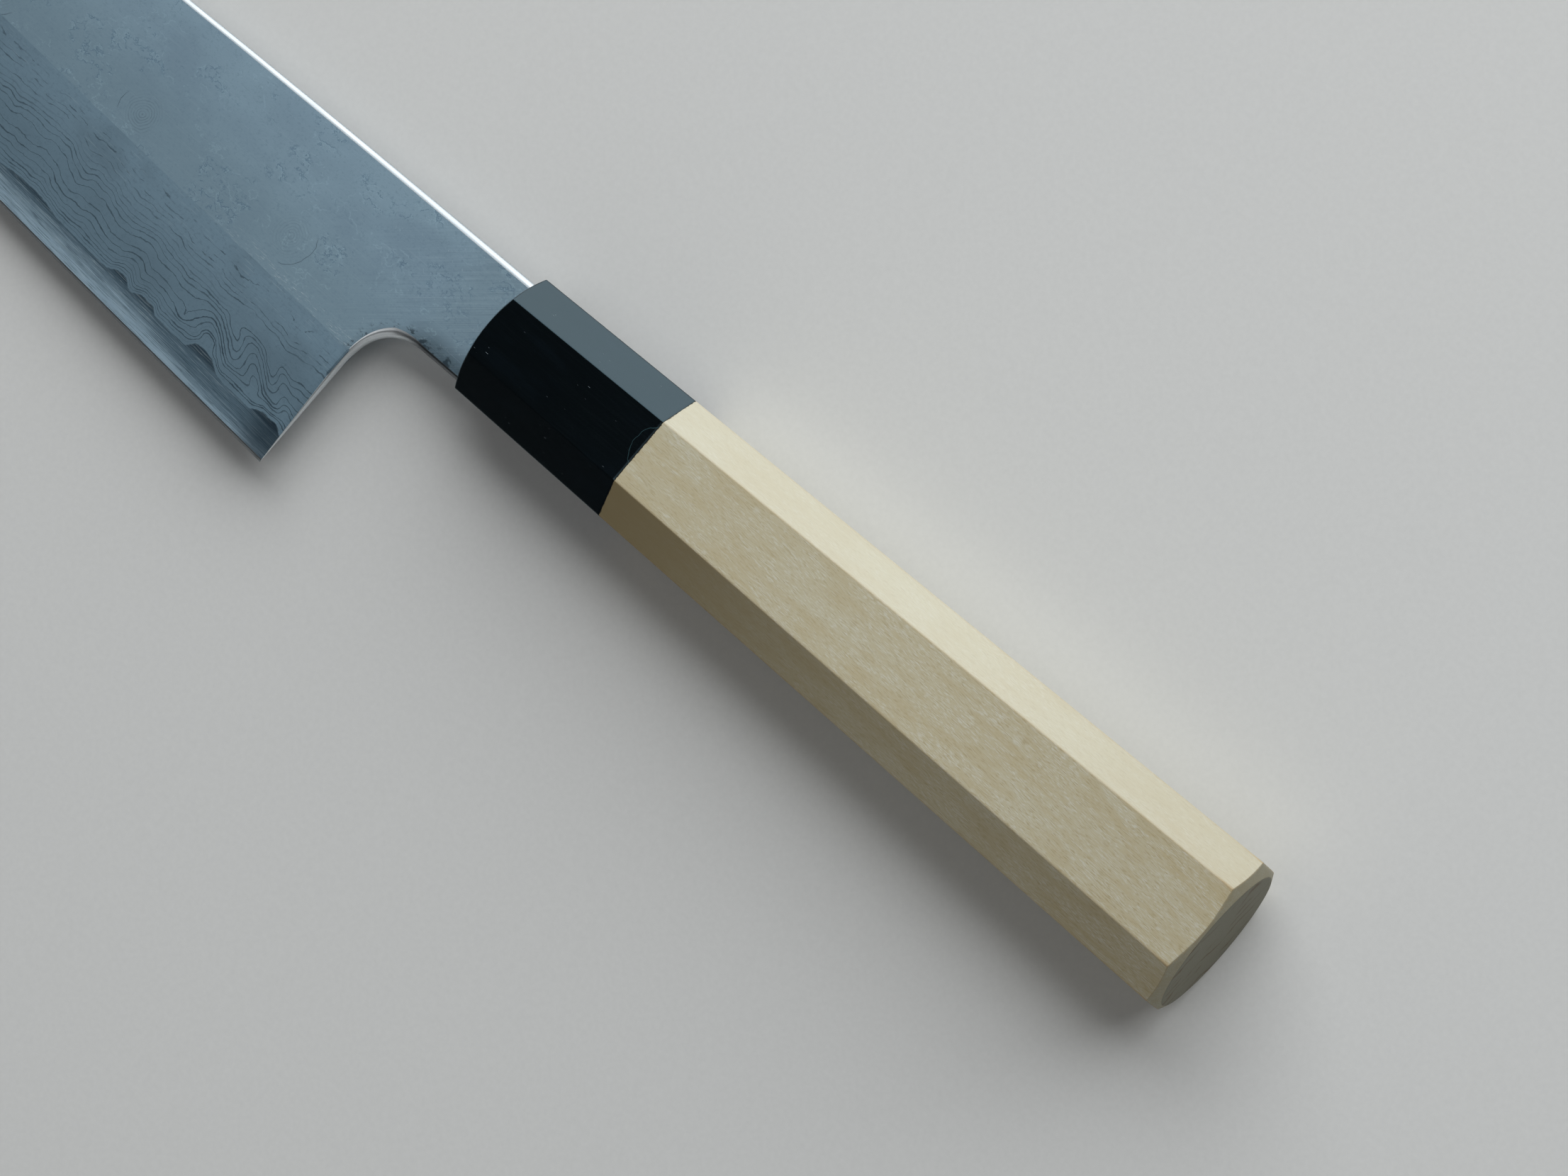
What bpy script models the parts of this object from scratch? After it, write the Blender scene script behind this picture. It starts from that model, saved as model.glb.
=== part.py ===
"""Chef knife with a laminated blade, a horn ferrule and an octagonal wooden handle.

The knife lies on its right side: X runs from tip to butt, Y from edge to spine, Z is up.
Pieces are drawn from the middle of the ferrule's front face, with X along the handle's axis.
The finished knife is then set down with the middle of its underside on the world origin.
"""

import math

import bmesh
import bpy
from mathutils import Matrix, Vector
from mathutils.geometry import interpolate_bezier

# Clearance between pieces that are glued, driven or seated in each other
FIT_GAP = 0.0003

# Blade outline, seen from the side
BLADE_LENGTH = 0.210  # heel to tip
NECK_LENGTH = 0.017  # ferrule to the back of the heel
HEEL_DEPTH = 0.0379  # edge below the handle's axis, at the heel
SPINE_HEIGHT = 0.00885  # spine above the handle's axis, at the neck
TIP_DEPTH = 0.006  # tip below the handle's axis
EDGE_LIFT = math.radians(3.0)  # climb of the edge's flat towards the tip
EDGE_FLAT_REACH = 0.120  # how long the edge holds that climb
TIP_BELLY_ANGLE = math.radians(39.0)  # slope of the edge where it meets the tip
TIP_BELLY_REACH = 0.031
SPINE_FLAT_REACH = 0.105  # how long the spine stays level
TIP_SPINE_ANGLE = math.radians(15.7)  # slope of the spine where it meets the tip
TIP_SPINE_REACH = 0.0437
NECK_DEPTH = 0.0095  # underside of the neck below the handle's axis
CHOIL_RISE = 0.0095  # height of the curve that leads from the heel's back to the neck
CHOIL_RUN = 0.0085  # length of that curve along the neck
CHOIL_FULLNESS = 0.65  # above 0.55 the curve is squarer than an oval's quarter

# Blade section
HEEL_SPINE_THICKNESS = 0.0031
HEEL_SHINOGI_THICKNESS = 0.0024  # at the line between the upper flat and the wide bevel
TIP_THICKNESS = 0.0009
BEVEL_WIDTH = 0.022  # edge to the shinogi line, along most of the blade
BEVEL_TIP_SHARE = 0.62  # share of the blade's height that the bevel may take towards the tip
BEVEL_BLEND = 6  # how sharply the bevel passes from one rule to the other
EDGE_GRIND_WIDTH = 0.0005  # the fine bevel at the very edge
EDGE_GRIND_ANGLE = math.radians(12.0)  # each side
CORE_THICKNESS = 0.00076  # hard steel between the two soft claddings
SPINE_CROWN = 0.0009  # depth of the rounding along the spine, at the heel
HEEL_CROWN = 0.00025  # the same on the back of the heel
CHOIL_CROWN = 0.0011  # the same in the hollow of the choil
NECK_CROWN = 0.0006  # the same under the neck

# Tang, hidden in the handle
TANG_LENGTH = 0.092
TANG_HEIGHT = 0.010  # at the ferrule
TANG_END_HEIGHT = 0.006
TANG_THICKNESS = 0.0026  # at the ferrule
TANG_END_THICKNESS = 0.0018
TANG_POINT_LENGTH = 0.008
TANG_POINT_HEIGHT = 0.002
TANG_ROOT = 0.003  # how far the tang's outline runs into the neck

# Handle: an eight-sided taper with flat facets
HANDLE_LENGTH = 0.140
FERRULE_LENGTH = 0.031
FRONT_HEIGHT = 0.0209
FRONT_WIDTH = 0.0194
FRONT_ACROSS_CORNERS = 0.0213  # between opposite corner facets
BUTT_HEIGHT = 0.0253
BUTT_WIDTH = 0.0210
BUTT_ACROSS_CORNERS = 0.0250
CORNER_FACET_TURN = math.radians(48.5)  # corner facets, turned from the spine facet
FRONT_OVAL_HEIGHT = 0.0193  # flat oval that the front's chamfer leaves
FRONT_OVAL_WIDTH = 0.0180
BUTT_OVAL_HEIGHT = 0.0234
BUTT_OVAL_WIDTH = 0.0199
CHAMFER_SPREAD = 2.0  # how much faster the chamfers widen than they run along the handle
CHAMFER_RUN = 0.004  # far enough to pass every corner
BLANK_EXTRA = 0.001  # handle blanks are longer than the handle before the chamfers cut them

# Dowel and seal inside the handle
FERRULE_FRONT_WALL = 0.009  # horn in front of the dowel
DOWEL_REACH = 0.022  # dowel in the wood
DOWEL_WALL = 0.0016  # dowel beside the corners of the tang's slot
DOWEL_CHAMFER = 0.001
SEAL_DEPTH = 0.004
SEAL_WALL = 0.0008

# Finishes: colour, metallic and roughness
EDGE_STEEL = ((0.22, 0.27, 0.30), 1.0, 0.38)
CLAD_STEEL = ((0.28, 0.36, 0.40), 1.0, 0.45)
HORN = ((0.006, 0.006, 0.008), 0.0, 0.16)
MAGNOLIA = ((0.62, 0.49, 0.31), 0.0, 0.62)
DOWEL_WOOD = ((0.50, 0.36, 0.20), 0.0, 0.60)
SEAL_RESIN = ((0.020, 0.015, 0.012), 0.0, 0.40)

# Smoothness of round outlines
EDGE_POINTS = 40
SPINE_POINTS = 40
HEEL_POINTS = 6
CHOIL_POINTS = 14
CROWN_STEPS = 4
OVAL_POINTS = 96
DOWEL_POINTS = 48
SLOT_END_POINTS = 12
SHARP_ANGLE = math.radians(25.0)
MERGE_DISTANCE = 1e-7

# Places that follow from the sizes above
HEEL = Vector((-NECK_LENGTH, -HEEL_DEPTH, 0.0))
TIP = Vector((-NECK_LENGTH - BLADE_LENGTH, -TIP_DEPTH, 0.0))
SHOULDER_X = -FIT_GAP


def clear_scene():
    for obj in list(bpy.data.objects):
        bpy.data.objects.remove(obj, do_unlink=True)


def mix(start, end, share):
    return start + (end - start) * share


def finish(name, color, metallic, roughness):
    """A material with one colour and gloss."""
    material = bpy.data.materials.new(name)
    material.use_nodes = True
    shader = material.node_tree.nodes["Principled BSDF"]
    shader.inputs["Base Color"].default_value = (*color, 1.0)
    shader.inputs["Metallic"].default_value = metallic
    shader.inputs["Roughness"].default_value = roughness
    return material


def mesh_from(name, bm):
    bmesh.ops.recalc_face_normals(bm, faces=bm.faces)
    mesh = bpy.data.meshes.new(name)
    bm.to_mesh(mesh)
    bm.free()
    mesh.shade_smooth()
    mesh.set_sharp_from_angle(angle=SHARP_ANGLE)
    return mesh


def loft(name, sections):
    """A closed skin over rings of equally many points."""
    bm = bmesh.new()
    rings = [[bm.verts.new(point) for point in section] for section in sections]
    for near, far in zip(rings, rings[1:]):
        for i in range(len(near)):
            bm.faces.new((near[i - 1], near[i], far[i], far[i - 1]))
    bm.faces.new(rings[0])
    bm.faces.new(rings[-1])
    return mesh_from(name, bm)


def piece(name, mesh, material, parent):
    obj = bpy.data.objects.new(name, mesh)
    obj.parent = parent
    if not mesh.materials:
        mesh.materials.append(material)
    obj.material_slots[0].link = "OBJECT"
    obj.material_slots[0].material = material
    bpy.context.scene.collection.objects.link(obj)
    return obj


def cutter(name, mesh, parent):
    obj = bpy.data.objects.new(name, mesh)
    obj.parent = parent
    obj.hide_render = True
    obj.display_type = "WIRE"
    bpy.context.scene.collection.objects.link(obj)
    return obj


def boolean(obj, operation, other):
    modifier = obj.modifiers.new(f"{operation.lower()} {other.name}", "BOOLEAN")
    modifier.operation = operation
    modifier.solver = "EXACT"
    modifier.object = other


def polar(angle, length):
    return Vector((math.cos(angle), math.sin(angle), 0.0)) * length


def left_normals(points):
    """Unit normals to the left of the way along an open run of points."""
    normals = []
    for i in range(len(points)):
        ahead = points[min(i + 1, len(points) - 1)] - points[max(i - 1, 0)]
        normals.append(Vector((-ahead.y, ahead.x, 0.0)).normalized())
    return normals


def edge_line():
    """The cutting edge from heel to tip."""
    heel_handle = HEEL + polar(math.pi - EDGE_LIFT, EDGE_FLAT_REACH)
    tip_handle = TIP + polar(-TIP_BELLY_ANGLE, TIP_BELLY_REACH)
    return interpolate_bezier(HEEL, heel_handle, tip_handle, TIP, EDGE_POINTS)


def spine_line():
    """The ridge of the spine from the ferrule to the tip."""
    start = Vector((SHOULDER_X, SPINE_HEIGHT, 0.0))
    start_handle = start + polar(math.pi, SPINE_FLAT_REACH)
    tip_handle = TIP + polar(TIP_SPINE_ANGLE, TIP_SPINE_REACH)
    return interpolate_bezier(start, start_handle, tip_handle, TIP, SPINE_POINTS)


def back_line(stops):
    """The ridge up the heel's back, round the choil and along the neck to the ferrule.

    A point is placed at each height in stops, so that other lines of the blade can start there.
    """
    foot = Vector((-NECK_LENGTH, -NECK_DEPTH - CHOIL_RISE, 0.0))
    end = Vector((-NECK_LENGTH + CHOIL_RUN, -NECK_DEPTH, 0.0))
    foot_handle = foot + Vector((0.0, CHOIL_RISE * CHOIL_FULLNESS, 0.0))
    end_handle = end - Vector((CHOIL_RUN * CHOIL_FULLNESS, 0.0, 0.0))
    heel_run = [HEEL.lerp(foot, i / HEEL_POINTS) for i in range(HEEL_POINTS)]
    curve = interpolate_bezier(foot, foot_handle, end_handle, end, CHOIL_POINTS)
    points = [*heel_run, *curve, Vector((SHOULDER_X, -NECK_DEPTH, 0.0))]
    for height in stops:
        after = next(i for i, point in enumerate(points) if point.y > height)
        low, high = points[after - 1], points[after]
        share = (height - low.y) / (high.y - low.y)
        points.insert(after, low.lerp(high, share))
    return points


def spine_height_at(spine, x):
    for right, left in zip(spine, spine[1:]):
        if left.x <= x:
            return mix(left.y, right.y, (x - left.x) / (right.x - left.x))
    return TIP.y


def bevel_width(spine, point):
    """Width of the wide bevel over a point of the edge, narrowing towards the tip."""
    tall = spine_height_at(spine, point.x) - point.y
    near_tip = BEVEL_TIP_SHARE * tall
    return (BEVEL_WIDTH**-BEVEL_BLEND + near_tip**-BEVEL_BLEND) ** (-1 / BEVEL_BLEND)


def flat_plane(shinogi_y):
    """Half thickness over the blade's upper flat, which is a plane on each side."""
    spine_half = HEEL_SPINE_THICKNESS / 2
    rise_y = (spine_half - HEEL_SHINOGI_THICKNESS / 2) / (SPINE_HEIGHT - shinogi_y)
    tip_drop = spine_half - TIP_THICKNESS / 2 - rise_y * (SPINE_HEIGHT - TIP.y)
    rise_x = tip_drop / BLADE_LENGTH
    return lambda point: spine_half + rise_x * (point.x - HEEL.x) + rise_y * (point.y - SPINE_HEIGHT)


def crown_rings(bm, ridge, normals, depths, half_thickness):
    """Columns of points from a ridge on the middle plane, over its rounding, to the blade's side."""
    columns = []
    for point, normal, depth in zip(ridge, normals, depths):
        half = half_thickness(point + normal * depth)
        column = []
        for step in range(CROWN_STEPS + 1):
            turn = math.pi / 2 * step / CROWN_STEPS
            place = point + normal * depth * (1 - math.cos(turn))
            column.append(bm.verts.new((place.x, place.y, half * math.sin(turn))))
        columns.append(column)
    return columns


def strip(bm, first, second):
    for i in range(len(first) - 1):
        bm.faces.new((first[i], first[i + 1], second[i + 1], second[i]))


def fan(bm, centre, column):
    for low, high in zip(column, column[1:]):
        bm.faces.new((centre, low, high))


def back_depths(back, shinogi_index):
    """Rounding of the heel's back, the choil and the neck, which is nothing at the heel's corner."""
    depths = []
    last = len(back) - 1
    fullest = next(i for i, point in enumerate(back) if point.y > -NECK_DEPTH - CHOIL_RISE / 4)
    for i, point in enumerate(back):
        if i <= shinogi_index:
            depths.append(HEEL_CROWN * (point.y - HEEL.y) / (back[shinogi_index].y - HEEL.y))
        elif i <= fullest:
            depths.append(mix(HEEL_CROWN, CHOIL_CROWN, (i - shinogi_index) / (fullest - shinogi_index)))
        else:
            depths.append(mix(CHOIL_CROWN, NECK_CROWN, (i - fullest) / (last - fullest)))
    return depths


def blade_blank():
    """Blade and neck in one skin, before the laminations are parted.

    Half of it is drawn on the left of the middle plane, and then mirrored.
    """
    bm = bmesh.new()
    edge = edge_line()
    spine = spine_line()
    heel_bevel = bevel_width(spine, HEEL)
    shinogi_y = HEEL.y + heel_bevel
    flat_half = flat_plane(shinogi_y)
    grind_half = EDGE_GRIND_WIDTH * math.tan(EDGE_GRIND_ANGLE)
    back = back_line((HEEL.y + EDGE_GRIND_WIDTH, shinogi_y))
    shinogi_index = next(i for i, point in enumerate(back) if point.y >= shinogi_y)

    def side_half(point):
        if point.y >= shinogi_y:
            return flat_half(point)
        climb = (point.y - HEEL.y - EDGE_GRIND_WIDTH) / (heel_bevel - EDGE_GRIND_WIDTH)
        return mix(grind_half, flat_half(Vector((point.x, shinogi_y, 0.0))), max(climb, 0.0))

    spine_normals = left_normals(spine)
    spine_normals[0] = Vector((0.0, -1.0, 0.0))
    spine_depths = [SPINE_CROWN * flat_half(point) * 2 / HEEL_SPINE_THICKNESS for point in spine]
    spine_columns = crown_rings(bm, spine[:-1], spine_normals, spine_depths, flat_half)

    back_normals = left_normals(back)
    back_normals[-1] = Vector((0.0, 1.0, 0.0))
    depths = back_depths(back, shinogi_index)
    back_columns = crown_rings(bm, back[1:], back_normals[1:], depths[1:], side_half)
    grind_start = back_columns[0][-1]
    shinogi_start = back_columns[shinogi_index - 1][-1]

    heel_vertex = bm.verts.new(HEEL)
    tip_vertex = bm.verts.new(TIP)
    edge_row = [heel_vertex]
    grind_row = [grind_start]
    shinogi_row = [shinogi_start]
    edge_normals = [-normal for normal in left_normals(edge)]
    for point, normal in list(zip(edge, edge_normals))[1:-1]:
        grind = point + normal * EDGE_GRIND_WIDTH
        shinogi = point + normal * bevel_width(spine, point)
        edge_row.append(bm.verts.new(point))
        grind_row.append(bm.verts.new((grind.x, grind.y, grind_half)))
        shinogi_row.append(bm.verts.new((shinogi.x, shinogi.y, flat_half(shinogi))))

    strip(bm, edge_row, grind_row)
    strip(bm, grind_row[1:], shinogi_row[1:])
    heel_side = [column[-1] for column in back_columns[: shinogi_index - 1]]
    bm.faces.new((grind_row[1], shinogi_row[1], shinogi_start, *reversed(heel_side)))
    spine_side = [column[-1] for column in spine_columns]
    neck_side = [column[-1] for column in back_columns[shinogi_index:]]
    bm.faces.new((*shinogi_row, *reversed(spine_side), *reversed(neck_side)))
    fan(bm, tip_vertex, [edge_row[-1], grind_row[-1], shinogi_row[-1], *reversed(spine_columns[-1])])
    fan(bm, heel_vertex, back_columns[0])
    for columns in (spine_columns, back_columns):
        for near, far in zip(columns, columns[1:]):
            strip(bm, near, far)
    shoulder = [*spine_columns[0], *reversed(back_columns[-1])]
    bm.faces.new(shoulder)

    everything = [*bm.verts, *bm.edges, *bm.faces]
    bmesh.ops.mirror(bm, geom=everything, matrix=Matrix(), merge_dist=MERGE_DISTANCE, axis="Z")
    bmesh.ops.triangulate(bm, faces=bm.faces)
    return mesh_from("blade_blank", bm)


def rectangle(x, half_height, half_thickness):
    corners = ((1, 1), (1, -1), (-1, -1), (-1, 1))
    return [Vector((x, half_height * up, half_thickness * out)) for up, out in corners]


def tang_half_height(x):
    return mix(TANG_HEIGHT, TANG_END_HEIGHT, x / TANG_LENGTH) / 2


def tang_half_thickness(x):
    return mix(TANG_THICKNESS, TANG_END_THICKNESS, x / TANG_LENGTH) / 2


def tang_shape(name, clearance):
    """The tapered tang with its blunt point, or the slot that clears it all round."""
    taper_end = TANG_LENGTH - TANG_POINT_LENGTH
    sections = []
    for x in (-TANG_ROOT, taper_end):
        sections.append(rectangle(x, tang_half_height(x) + clearance, tang_half_thickness(x) + clearance))
    point_half = TANG_POINT_HEIGHT / 2 + clearance
    end_thickness = tang_half_thickness(TANG_LENGTH) + clearance
    sections.append(rectangle(TANG_LENGTH + clearance, point_half, end_thickness))
    return loft(name, sections)


def slab(name, low, high):
    """A flat layer of the blade, wider and longer than the steel."""
    reach = BLADE_LENGTH + TANG_LENGTH + HANDLE_LENGTH
    corners = ((-reach, -reach), (reach, -reach), (reach, reach), (-reach, reach))
    return loft(name, [[Vector((x, y, z)) for x, y in corners] for z in (low, high)])


def make_blade(knife):
    """Hard core and two soft claddings, parted from one blank along flat planes."""
    blank = blade_blank()
    tang = cutter("tang_outline", tang_shape("tang_outline", 0.0), knife)
    half_core = CORE_THICKNESS / 2
    far = FRONT_WIDTH
    core_finish = finish("edge_steel", *EDGE_STEEL)
    clad_finish = finish("clad_steel", *CLAD_STEEL)
    layers = (
        ("core_steel", -half_core, half_core, core_finish),
        ("left_cladding", half_core, far, clad_finish),
        ("right_cladding", -far, -half_core, clad_finish),
    )
    pieces = []
    for name, low, high, material in layers:
        layer = piece(name, blank, material, knife)
        boolean(layer, "UNION", tang)
        boolean(layer, "INTERSECT", cutter(f"{name}_layer", slab(f"{name}_layer", low, high), knife))
        pieces.append(layer)
    return pieces


def octagon(x):
    """The handle's section at x, with facets that stay flat from front to butt."""
    share = x / HANDLE_LENGTH
    height = mix(FRONT_HEIGHT, BUTT_HEIGHT, share) / 2
    width = mix(FRONT_WIDTH, BUTT_WIDTH, share) / 2
    reach = mix(FRONT_ACROSS_CORNERS, BUTT_ACROSS_CORNERS, share) / 2
    spine_half = (reach - height * math.cos(CORNER_FACET_TURN)) / math.sin(CORNER_FACET_TURN)
    side_half = (reach - width * math.sin(CORNER_FACET_TURN)) / math.cos(CORNER_FACET_TURN)
    quarter = ((height, spine_half), (side_half, width))
    corners = [*quarter, *((-y, z) for y, z in reversed(quarter))]
    corners += [(-y, -z) for y, z in corners]
    return [Vector((x, y, z)) for y, z in corners]


def oval(x, half_height, half_width):
    turns = (2 * math.pi * i / OVAL_POINTS for i in range(OVAL_POINTS))
    return [Vector((x, half_height * math.cos(turn), half_width * math.sin(turn))) for turn in turns]


def chamfer_envelope(knife):
    """Oval cones that round both ends of the handle and leave arcs on its facets."""
    spread = CHAMFER_SPREAD * CHAMFER_RUN
    front = (FRONT_OVAL_HEIGHT / 2, FRONT_OVAL_WIDTH / 2)
    butt = (BUTT_OVAL_HEIGHT / 2, BUTT_OVAL_WIDTH / 2)
    sections = [
        oval(0.0, *front),
        oval(CHAMFER_RUN, front[0] + spread, front[1] + spread),
        oval(HANDLE_LENGTH - CHAMFER_RUN, butt[0] + spread, butt[1] + spread),
        oval(HANDLE_LENGTH, *butt),
    ]
    return cutter("chamfer_envelope", loft("chamfer_envelope", sections), knife)


def dowel_radius():
    front = FERRULE_FRONT_WALL
    corner = math.hypot(tang_half_height(front) + FIT_GAP, tang_half_thickness(front) + FIT_GAP)
    return corner + DOWEL_WALL


def disc(x, radius):
    turns = (2 * math.pi * i / DOWEL_POINTS for i in range(DOWEL_POINTS))
    return [Vector((x, radius * math.cos(turn), radius * math.sin(turn))) for turn in turns]


def dowel_bore(knife):
    """Blind bores for the dowel in horn and wood, cut as one."""
    front = FERRULE_FRONT_WALL - FIT_GAP
    back = FERRULE_LENGTH + DOWEL_REACH + FIT_GAP
    radius = dowel_radius() + FIT_GAP
    return cutter("dowel_bore", loft("dowel_bore", [disc(front, radius), disc(back, radius)]), knife)


def slot_outline(x, half_height, half_width):
    """A slot with round ends, standing upright."""
    straight = half_height - half_width
    points = []
    for end in (1, -1):
        for i in range(SLOT_END_POINTS + 1):
            turn = math.pi * i / SLOT_END_POINTS
            up = straight + half_width * math.sin(turn)
            out = half_width * math.cos(turn)
            points.append(Vector((x, end * up, end * out)))
    return points


def seal_shape(name, front, depth, clearance):
    half_height = TANG_HEIGHT / 2 + FIT_GAP + SEAL_WALL + clearance
    half_width = TANG_THICKNESS / 2 + FIT_GAP + SEAL_WALL + clearance
    return loft(name, [slot_outline(x, half_height, half_width) for x in (front, depth)])


def make_ferrule(knife, envelope, bore, slot):
    """Horn collar with the mouth of the tang's slot."""
    blank = loft("ferrule", [octagon(-BLANK_EXTRA), octagon(FERRULE_LENGTH)])
    ferrule = piece("ferrule", blank, finish("buffalo_horn", *HORN), knife)
    pocket_mesh = seal_shape("seal_pocket", -BLANK_EXTRA, SEAL_DEPTH + FIT_GAP, FIT_GAP)
    pocket = cutter("seal_pocket", pocket_mesh, knife)
    boolean(ferrule, "INTERSECT", envelope)
    for hollow in (bore, slot, pocket):
        boolean(ferrule, "DIFFERENCE", hollow)
    return ferrule


def make_handle_body(knife, envelope, bore, slot):
    """Wooden body with the blind end of the tang's slot."""
    blank = loft("handle_body", [octagon(FERRULE_LENGTH), octagon(HANDLE_LENGTH + BLANK_EXTRA)])
    body = piece("handle_body", blank, finish("magnolia_wood", *MAGNOLIA), knife)
    boolean(body, "INTERSECT", envelope)
    for hollow in (bore, slot):
        boolean(body, "DIFFERENCE", hollow)
    return body


def make_dowel(knife, slot):
    """Turned dowel that joins horn to wood, slotted for the tang."""
    radius = dowel_radius()
    front = FERRULE_FRONT_WALL
    back = FERRULE_LENGTH + DOWEL_REACH
    sections = [
        disc(front, radius - DOWEL_CHAMFER),
        disc(front + DOWEL_CHAMFER, radius),
        disc(back - DOWEL_CHAMFER, radius),
        disc(back, radius - DOWEL_CHAMFER),
    ]
    turned = loft("ferrule_dowel", sections)
    dowel = piece("ferrule_dowel", turned, finish("dowel_wood", *DOWEL_WOOD), knife)
    boolean(dowel, "DIFFERENCE", slot)
    return dowel


def make_seal(knife, slot):
    """Resin collar that closes the mouth of the slot round the tang."""
    collar = seal_shape("tang_seal", 0.0, SEAL_DEPTH, 0.0)
    seal = piece("tang_seal", collar, finish("seal_resin", *SEAL_RESIN), knife)
    boolean(seal, "DIFFERENCE", slot)
    return seal


def set_down(knife, pieces):
    """Moves the knife so that the middle of its underside is the world origin."""
    bpy.context.view_layer.update()
    graph = bpy.context.evaluated_depsgraph_get()
    corners = []
    for obj in pieces:
        corners += [Vector(corner) for corner in obj.evaluated_get(graph).bound_box]
    low = Vector([min(corner[axis] for corner in corners) for axis in range(3)])
    high = Vector([max(corner[axis] for corner in corners) for axis in range(3)])
    knife.location = (-(low.x + high.x) / 2, -(low.y + high.y) / 2, -low.z)
    bpy.context.view_layer.update()


def main():
    clear_scene()
    knife = bpy.data.objects.new("knife", None)
    bpy.context.scene.collection.objects.link(knife)
    envelope = chamfer_envelope(knife)
    bore = dowel_bore(knife)
    slot = cutter("tang_slot", tang_shape("tang_slot", FIT_GAP), knife)
    pieces = make_blade(knife)
    pieces.append(make_ferrule(knife, envelope, bore, slot))
    pieces.append(make_handle_body(knife, envelope, bore, slot))
    pieces.append(make_dowel(knife, slot))
    pieces.append(make_seal(knife, slot))
    set_down(knife, pieces)


main()
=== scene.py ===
# %% [markdown]
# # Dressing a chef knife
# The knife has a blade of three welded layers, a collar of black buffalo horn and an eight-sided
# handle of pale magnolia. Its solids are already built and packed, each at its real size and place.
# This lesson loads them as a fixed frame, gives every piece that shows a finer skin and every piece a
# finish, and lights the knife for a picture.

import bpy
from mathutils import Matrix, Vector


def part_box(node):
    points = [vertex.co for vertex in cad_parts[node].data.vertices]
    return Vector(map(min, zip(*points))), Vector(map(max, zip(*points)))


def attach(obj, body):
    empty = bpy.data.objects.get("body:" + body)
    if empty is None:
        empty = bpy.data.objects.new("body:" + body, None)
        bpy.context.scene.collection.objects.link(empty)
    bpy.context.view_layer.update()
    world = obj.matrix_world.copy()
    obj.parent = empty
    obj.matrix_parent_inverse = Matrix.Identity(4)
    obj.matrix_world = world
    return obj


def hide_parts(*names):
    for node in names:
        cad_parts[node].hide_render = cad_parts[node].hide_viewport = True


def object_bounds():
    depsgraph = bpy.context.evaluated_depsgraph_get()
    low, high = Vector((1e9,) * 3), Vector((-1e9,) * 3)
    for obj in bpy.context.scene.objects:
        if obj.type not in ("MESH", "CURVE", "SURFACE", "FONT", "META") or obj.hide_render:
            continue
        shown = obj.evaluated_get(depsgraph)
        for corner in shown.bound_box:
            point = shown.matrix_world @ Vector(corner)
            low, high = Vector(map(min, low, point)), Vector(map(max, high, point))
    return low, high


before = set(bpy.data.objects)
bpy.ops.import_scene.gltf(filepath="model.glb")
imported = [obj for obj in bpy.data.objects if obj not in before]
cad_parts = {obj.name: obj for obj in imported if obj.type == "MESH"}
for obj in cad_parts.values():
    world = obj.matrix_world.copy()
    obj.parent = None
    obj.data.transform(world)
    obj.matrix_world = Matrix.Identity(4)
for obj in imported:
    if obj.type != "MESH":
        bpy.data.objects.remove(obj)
cad_low, cad_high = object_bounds()
print("solids:", sorted(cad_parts))

# %% [markdown]
# ## Where things are
# A knife maker measures from one spot, and so do we: the middle of the horn's front face, with X
# running back along the handle, Y up to the spine and Z out of the left face. The boxes of the
# solids give every length that the frame fixes, so the skins land on the solids without fitting.

# %% Read the driving places
import math

import bmesh
import bpy
import numpy as np
from mathutils import Matrix, Vector, noise
from mathutils.geometry import interpolate_bezier

MM = 0.001
WELD_GAP = 1e-7
TINY = 1e-9
horn_low, horn_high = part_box("ferrule")
wood_low, wood_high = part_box("handle_body")
core_low, core_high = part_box("core_steel")

BENCH = Vector((horn_low.x, (wood_low.y + wood_high.y) / 2, (wood_low.z + wood_high.z) / 2))
JOINT = horn_high.x - BENCH.x
BUTT = wood_high.x - BENCH.x
TANG_END = core_high.x - BENCH.x
TIP_REACH = BENCH.x - core_low.x
HEEL_DEPTH = BENCH.y - core_low.y
SPINE_HEIGHT = core_high.y - BENCH.y
CORE_HALF = (core_high.z - core_low.z) / 2
FIT_GAP = 0.3 * MM


def put(name, data):
    """Puts an object with this data into the scene."""
    thing = bpy.data.objects.new(name, data)
    bpy.context.scene.collection.objects.link(thing)
    return thing


print(f"handle {BUTT / MM:.1f} mm, blade and neck {TIP_REACH / MM:.1f} mm, core {2 * CORE_HALF / MM:.2f} mm")

# %% [markdown]
# ## The blade's outline
# Seen from the side, a blade is four lines: the edge, the spine, the back of the heel with its
# choil, and the shinogi, the ridge where the wide bevel begins. They could be traced point by
# point, but a smith thinks in a few sweeps, so each line is one Bezier curve with a slope and a
# reach at each end.

# %% Draw the outline
NECK_LENGTH = 17.0 * MM
TIP_DEPTH = 6.0 * MM
EDGE_LIFT = math.radians(3.0)
EDGE_FLAT_REACH = 120.0 * MM
TIP_BELLY_ANGLE = math.radians(39.0)
TIP_BELLY_REACH = 31.0 * MM
SPINE_FLAT_REACH = 105.0 * MM
TIP_SPINE_ANGLE = math.radians(15.7)
TIP_SPINE_REACH = 43.7 * MM
NECK_DEPTH = 9.5 * MM
CHOIL_RISE = 9.5 * MM
CHOIL_RUN = 8.5 * MM
CHOIL_FULLNESS = 0.65
OUTLINE_POINTS = 150
EDGE_POINTS = 900
FIRST_STEP = 1.2 * MM
EDGE_STEP = 0.45 * MM
HEEL_POINTS = 24
CHOIL_POINTS = 40

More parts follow.
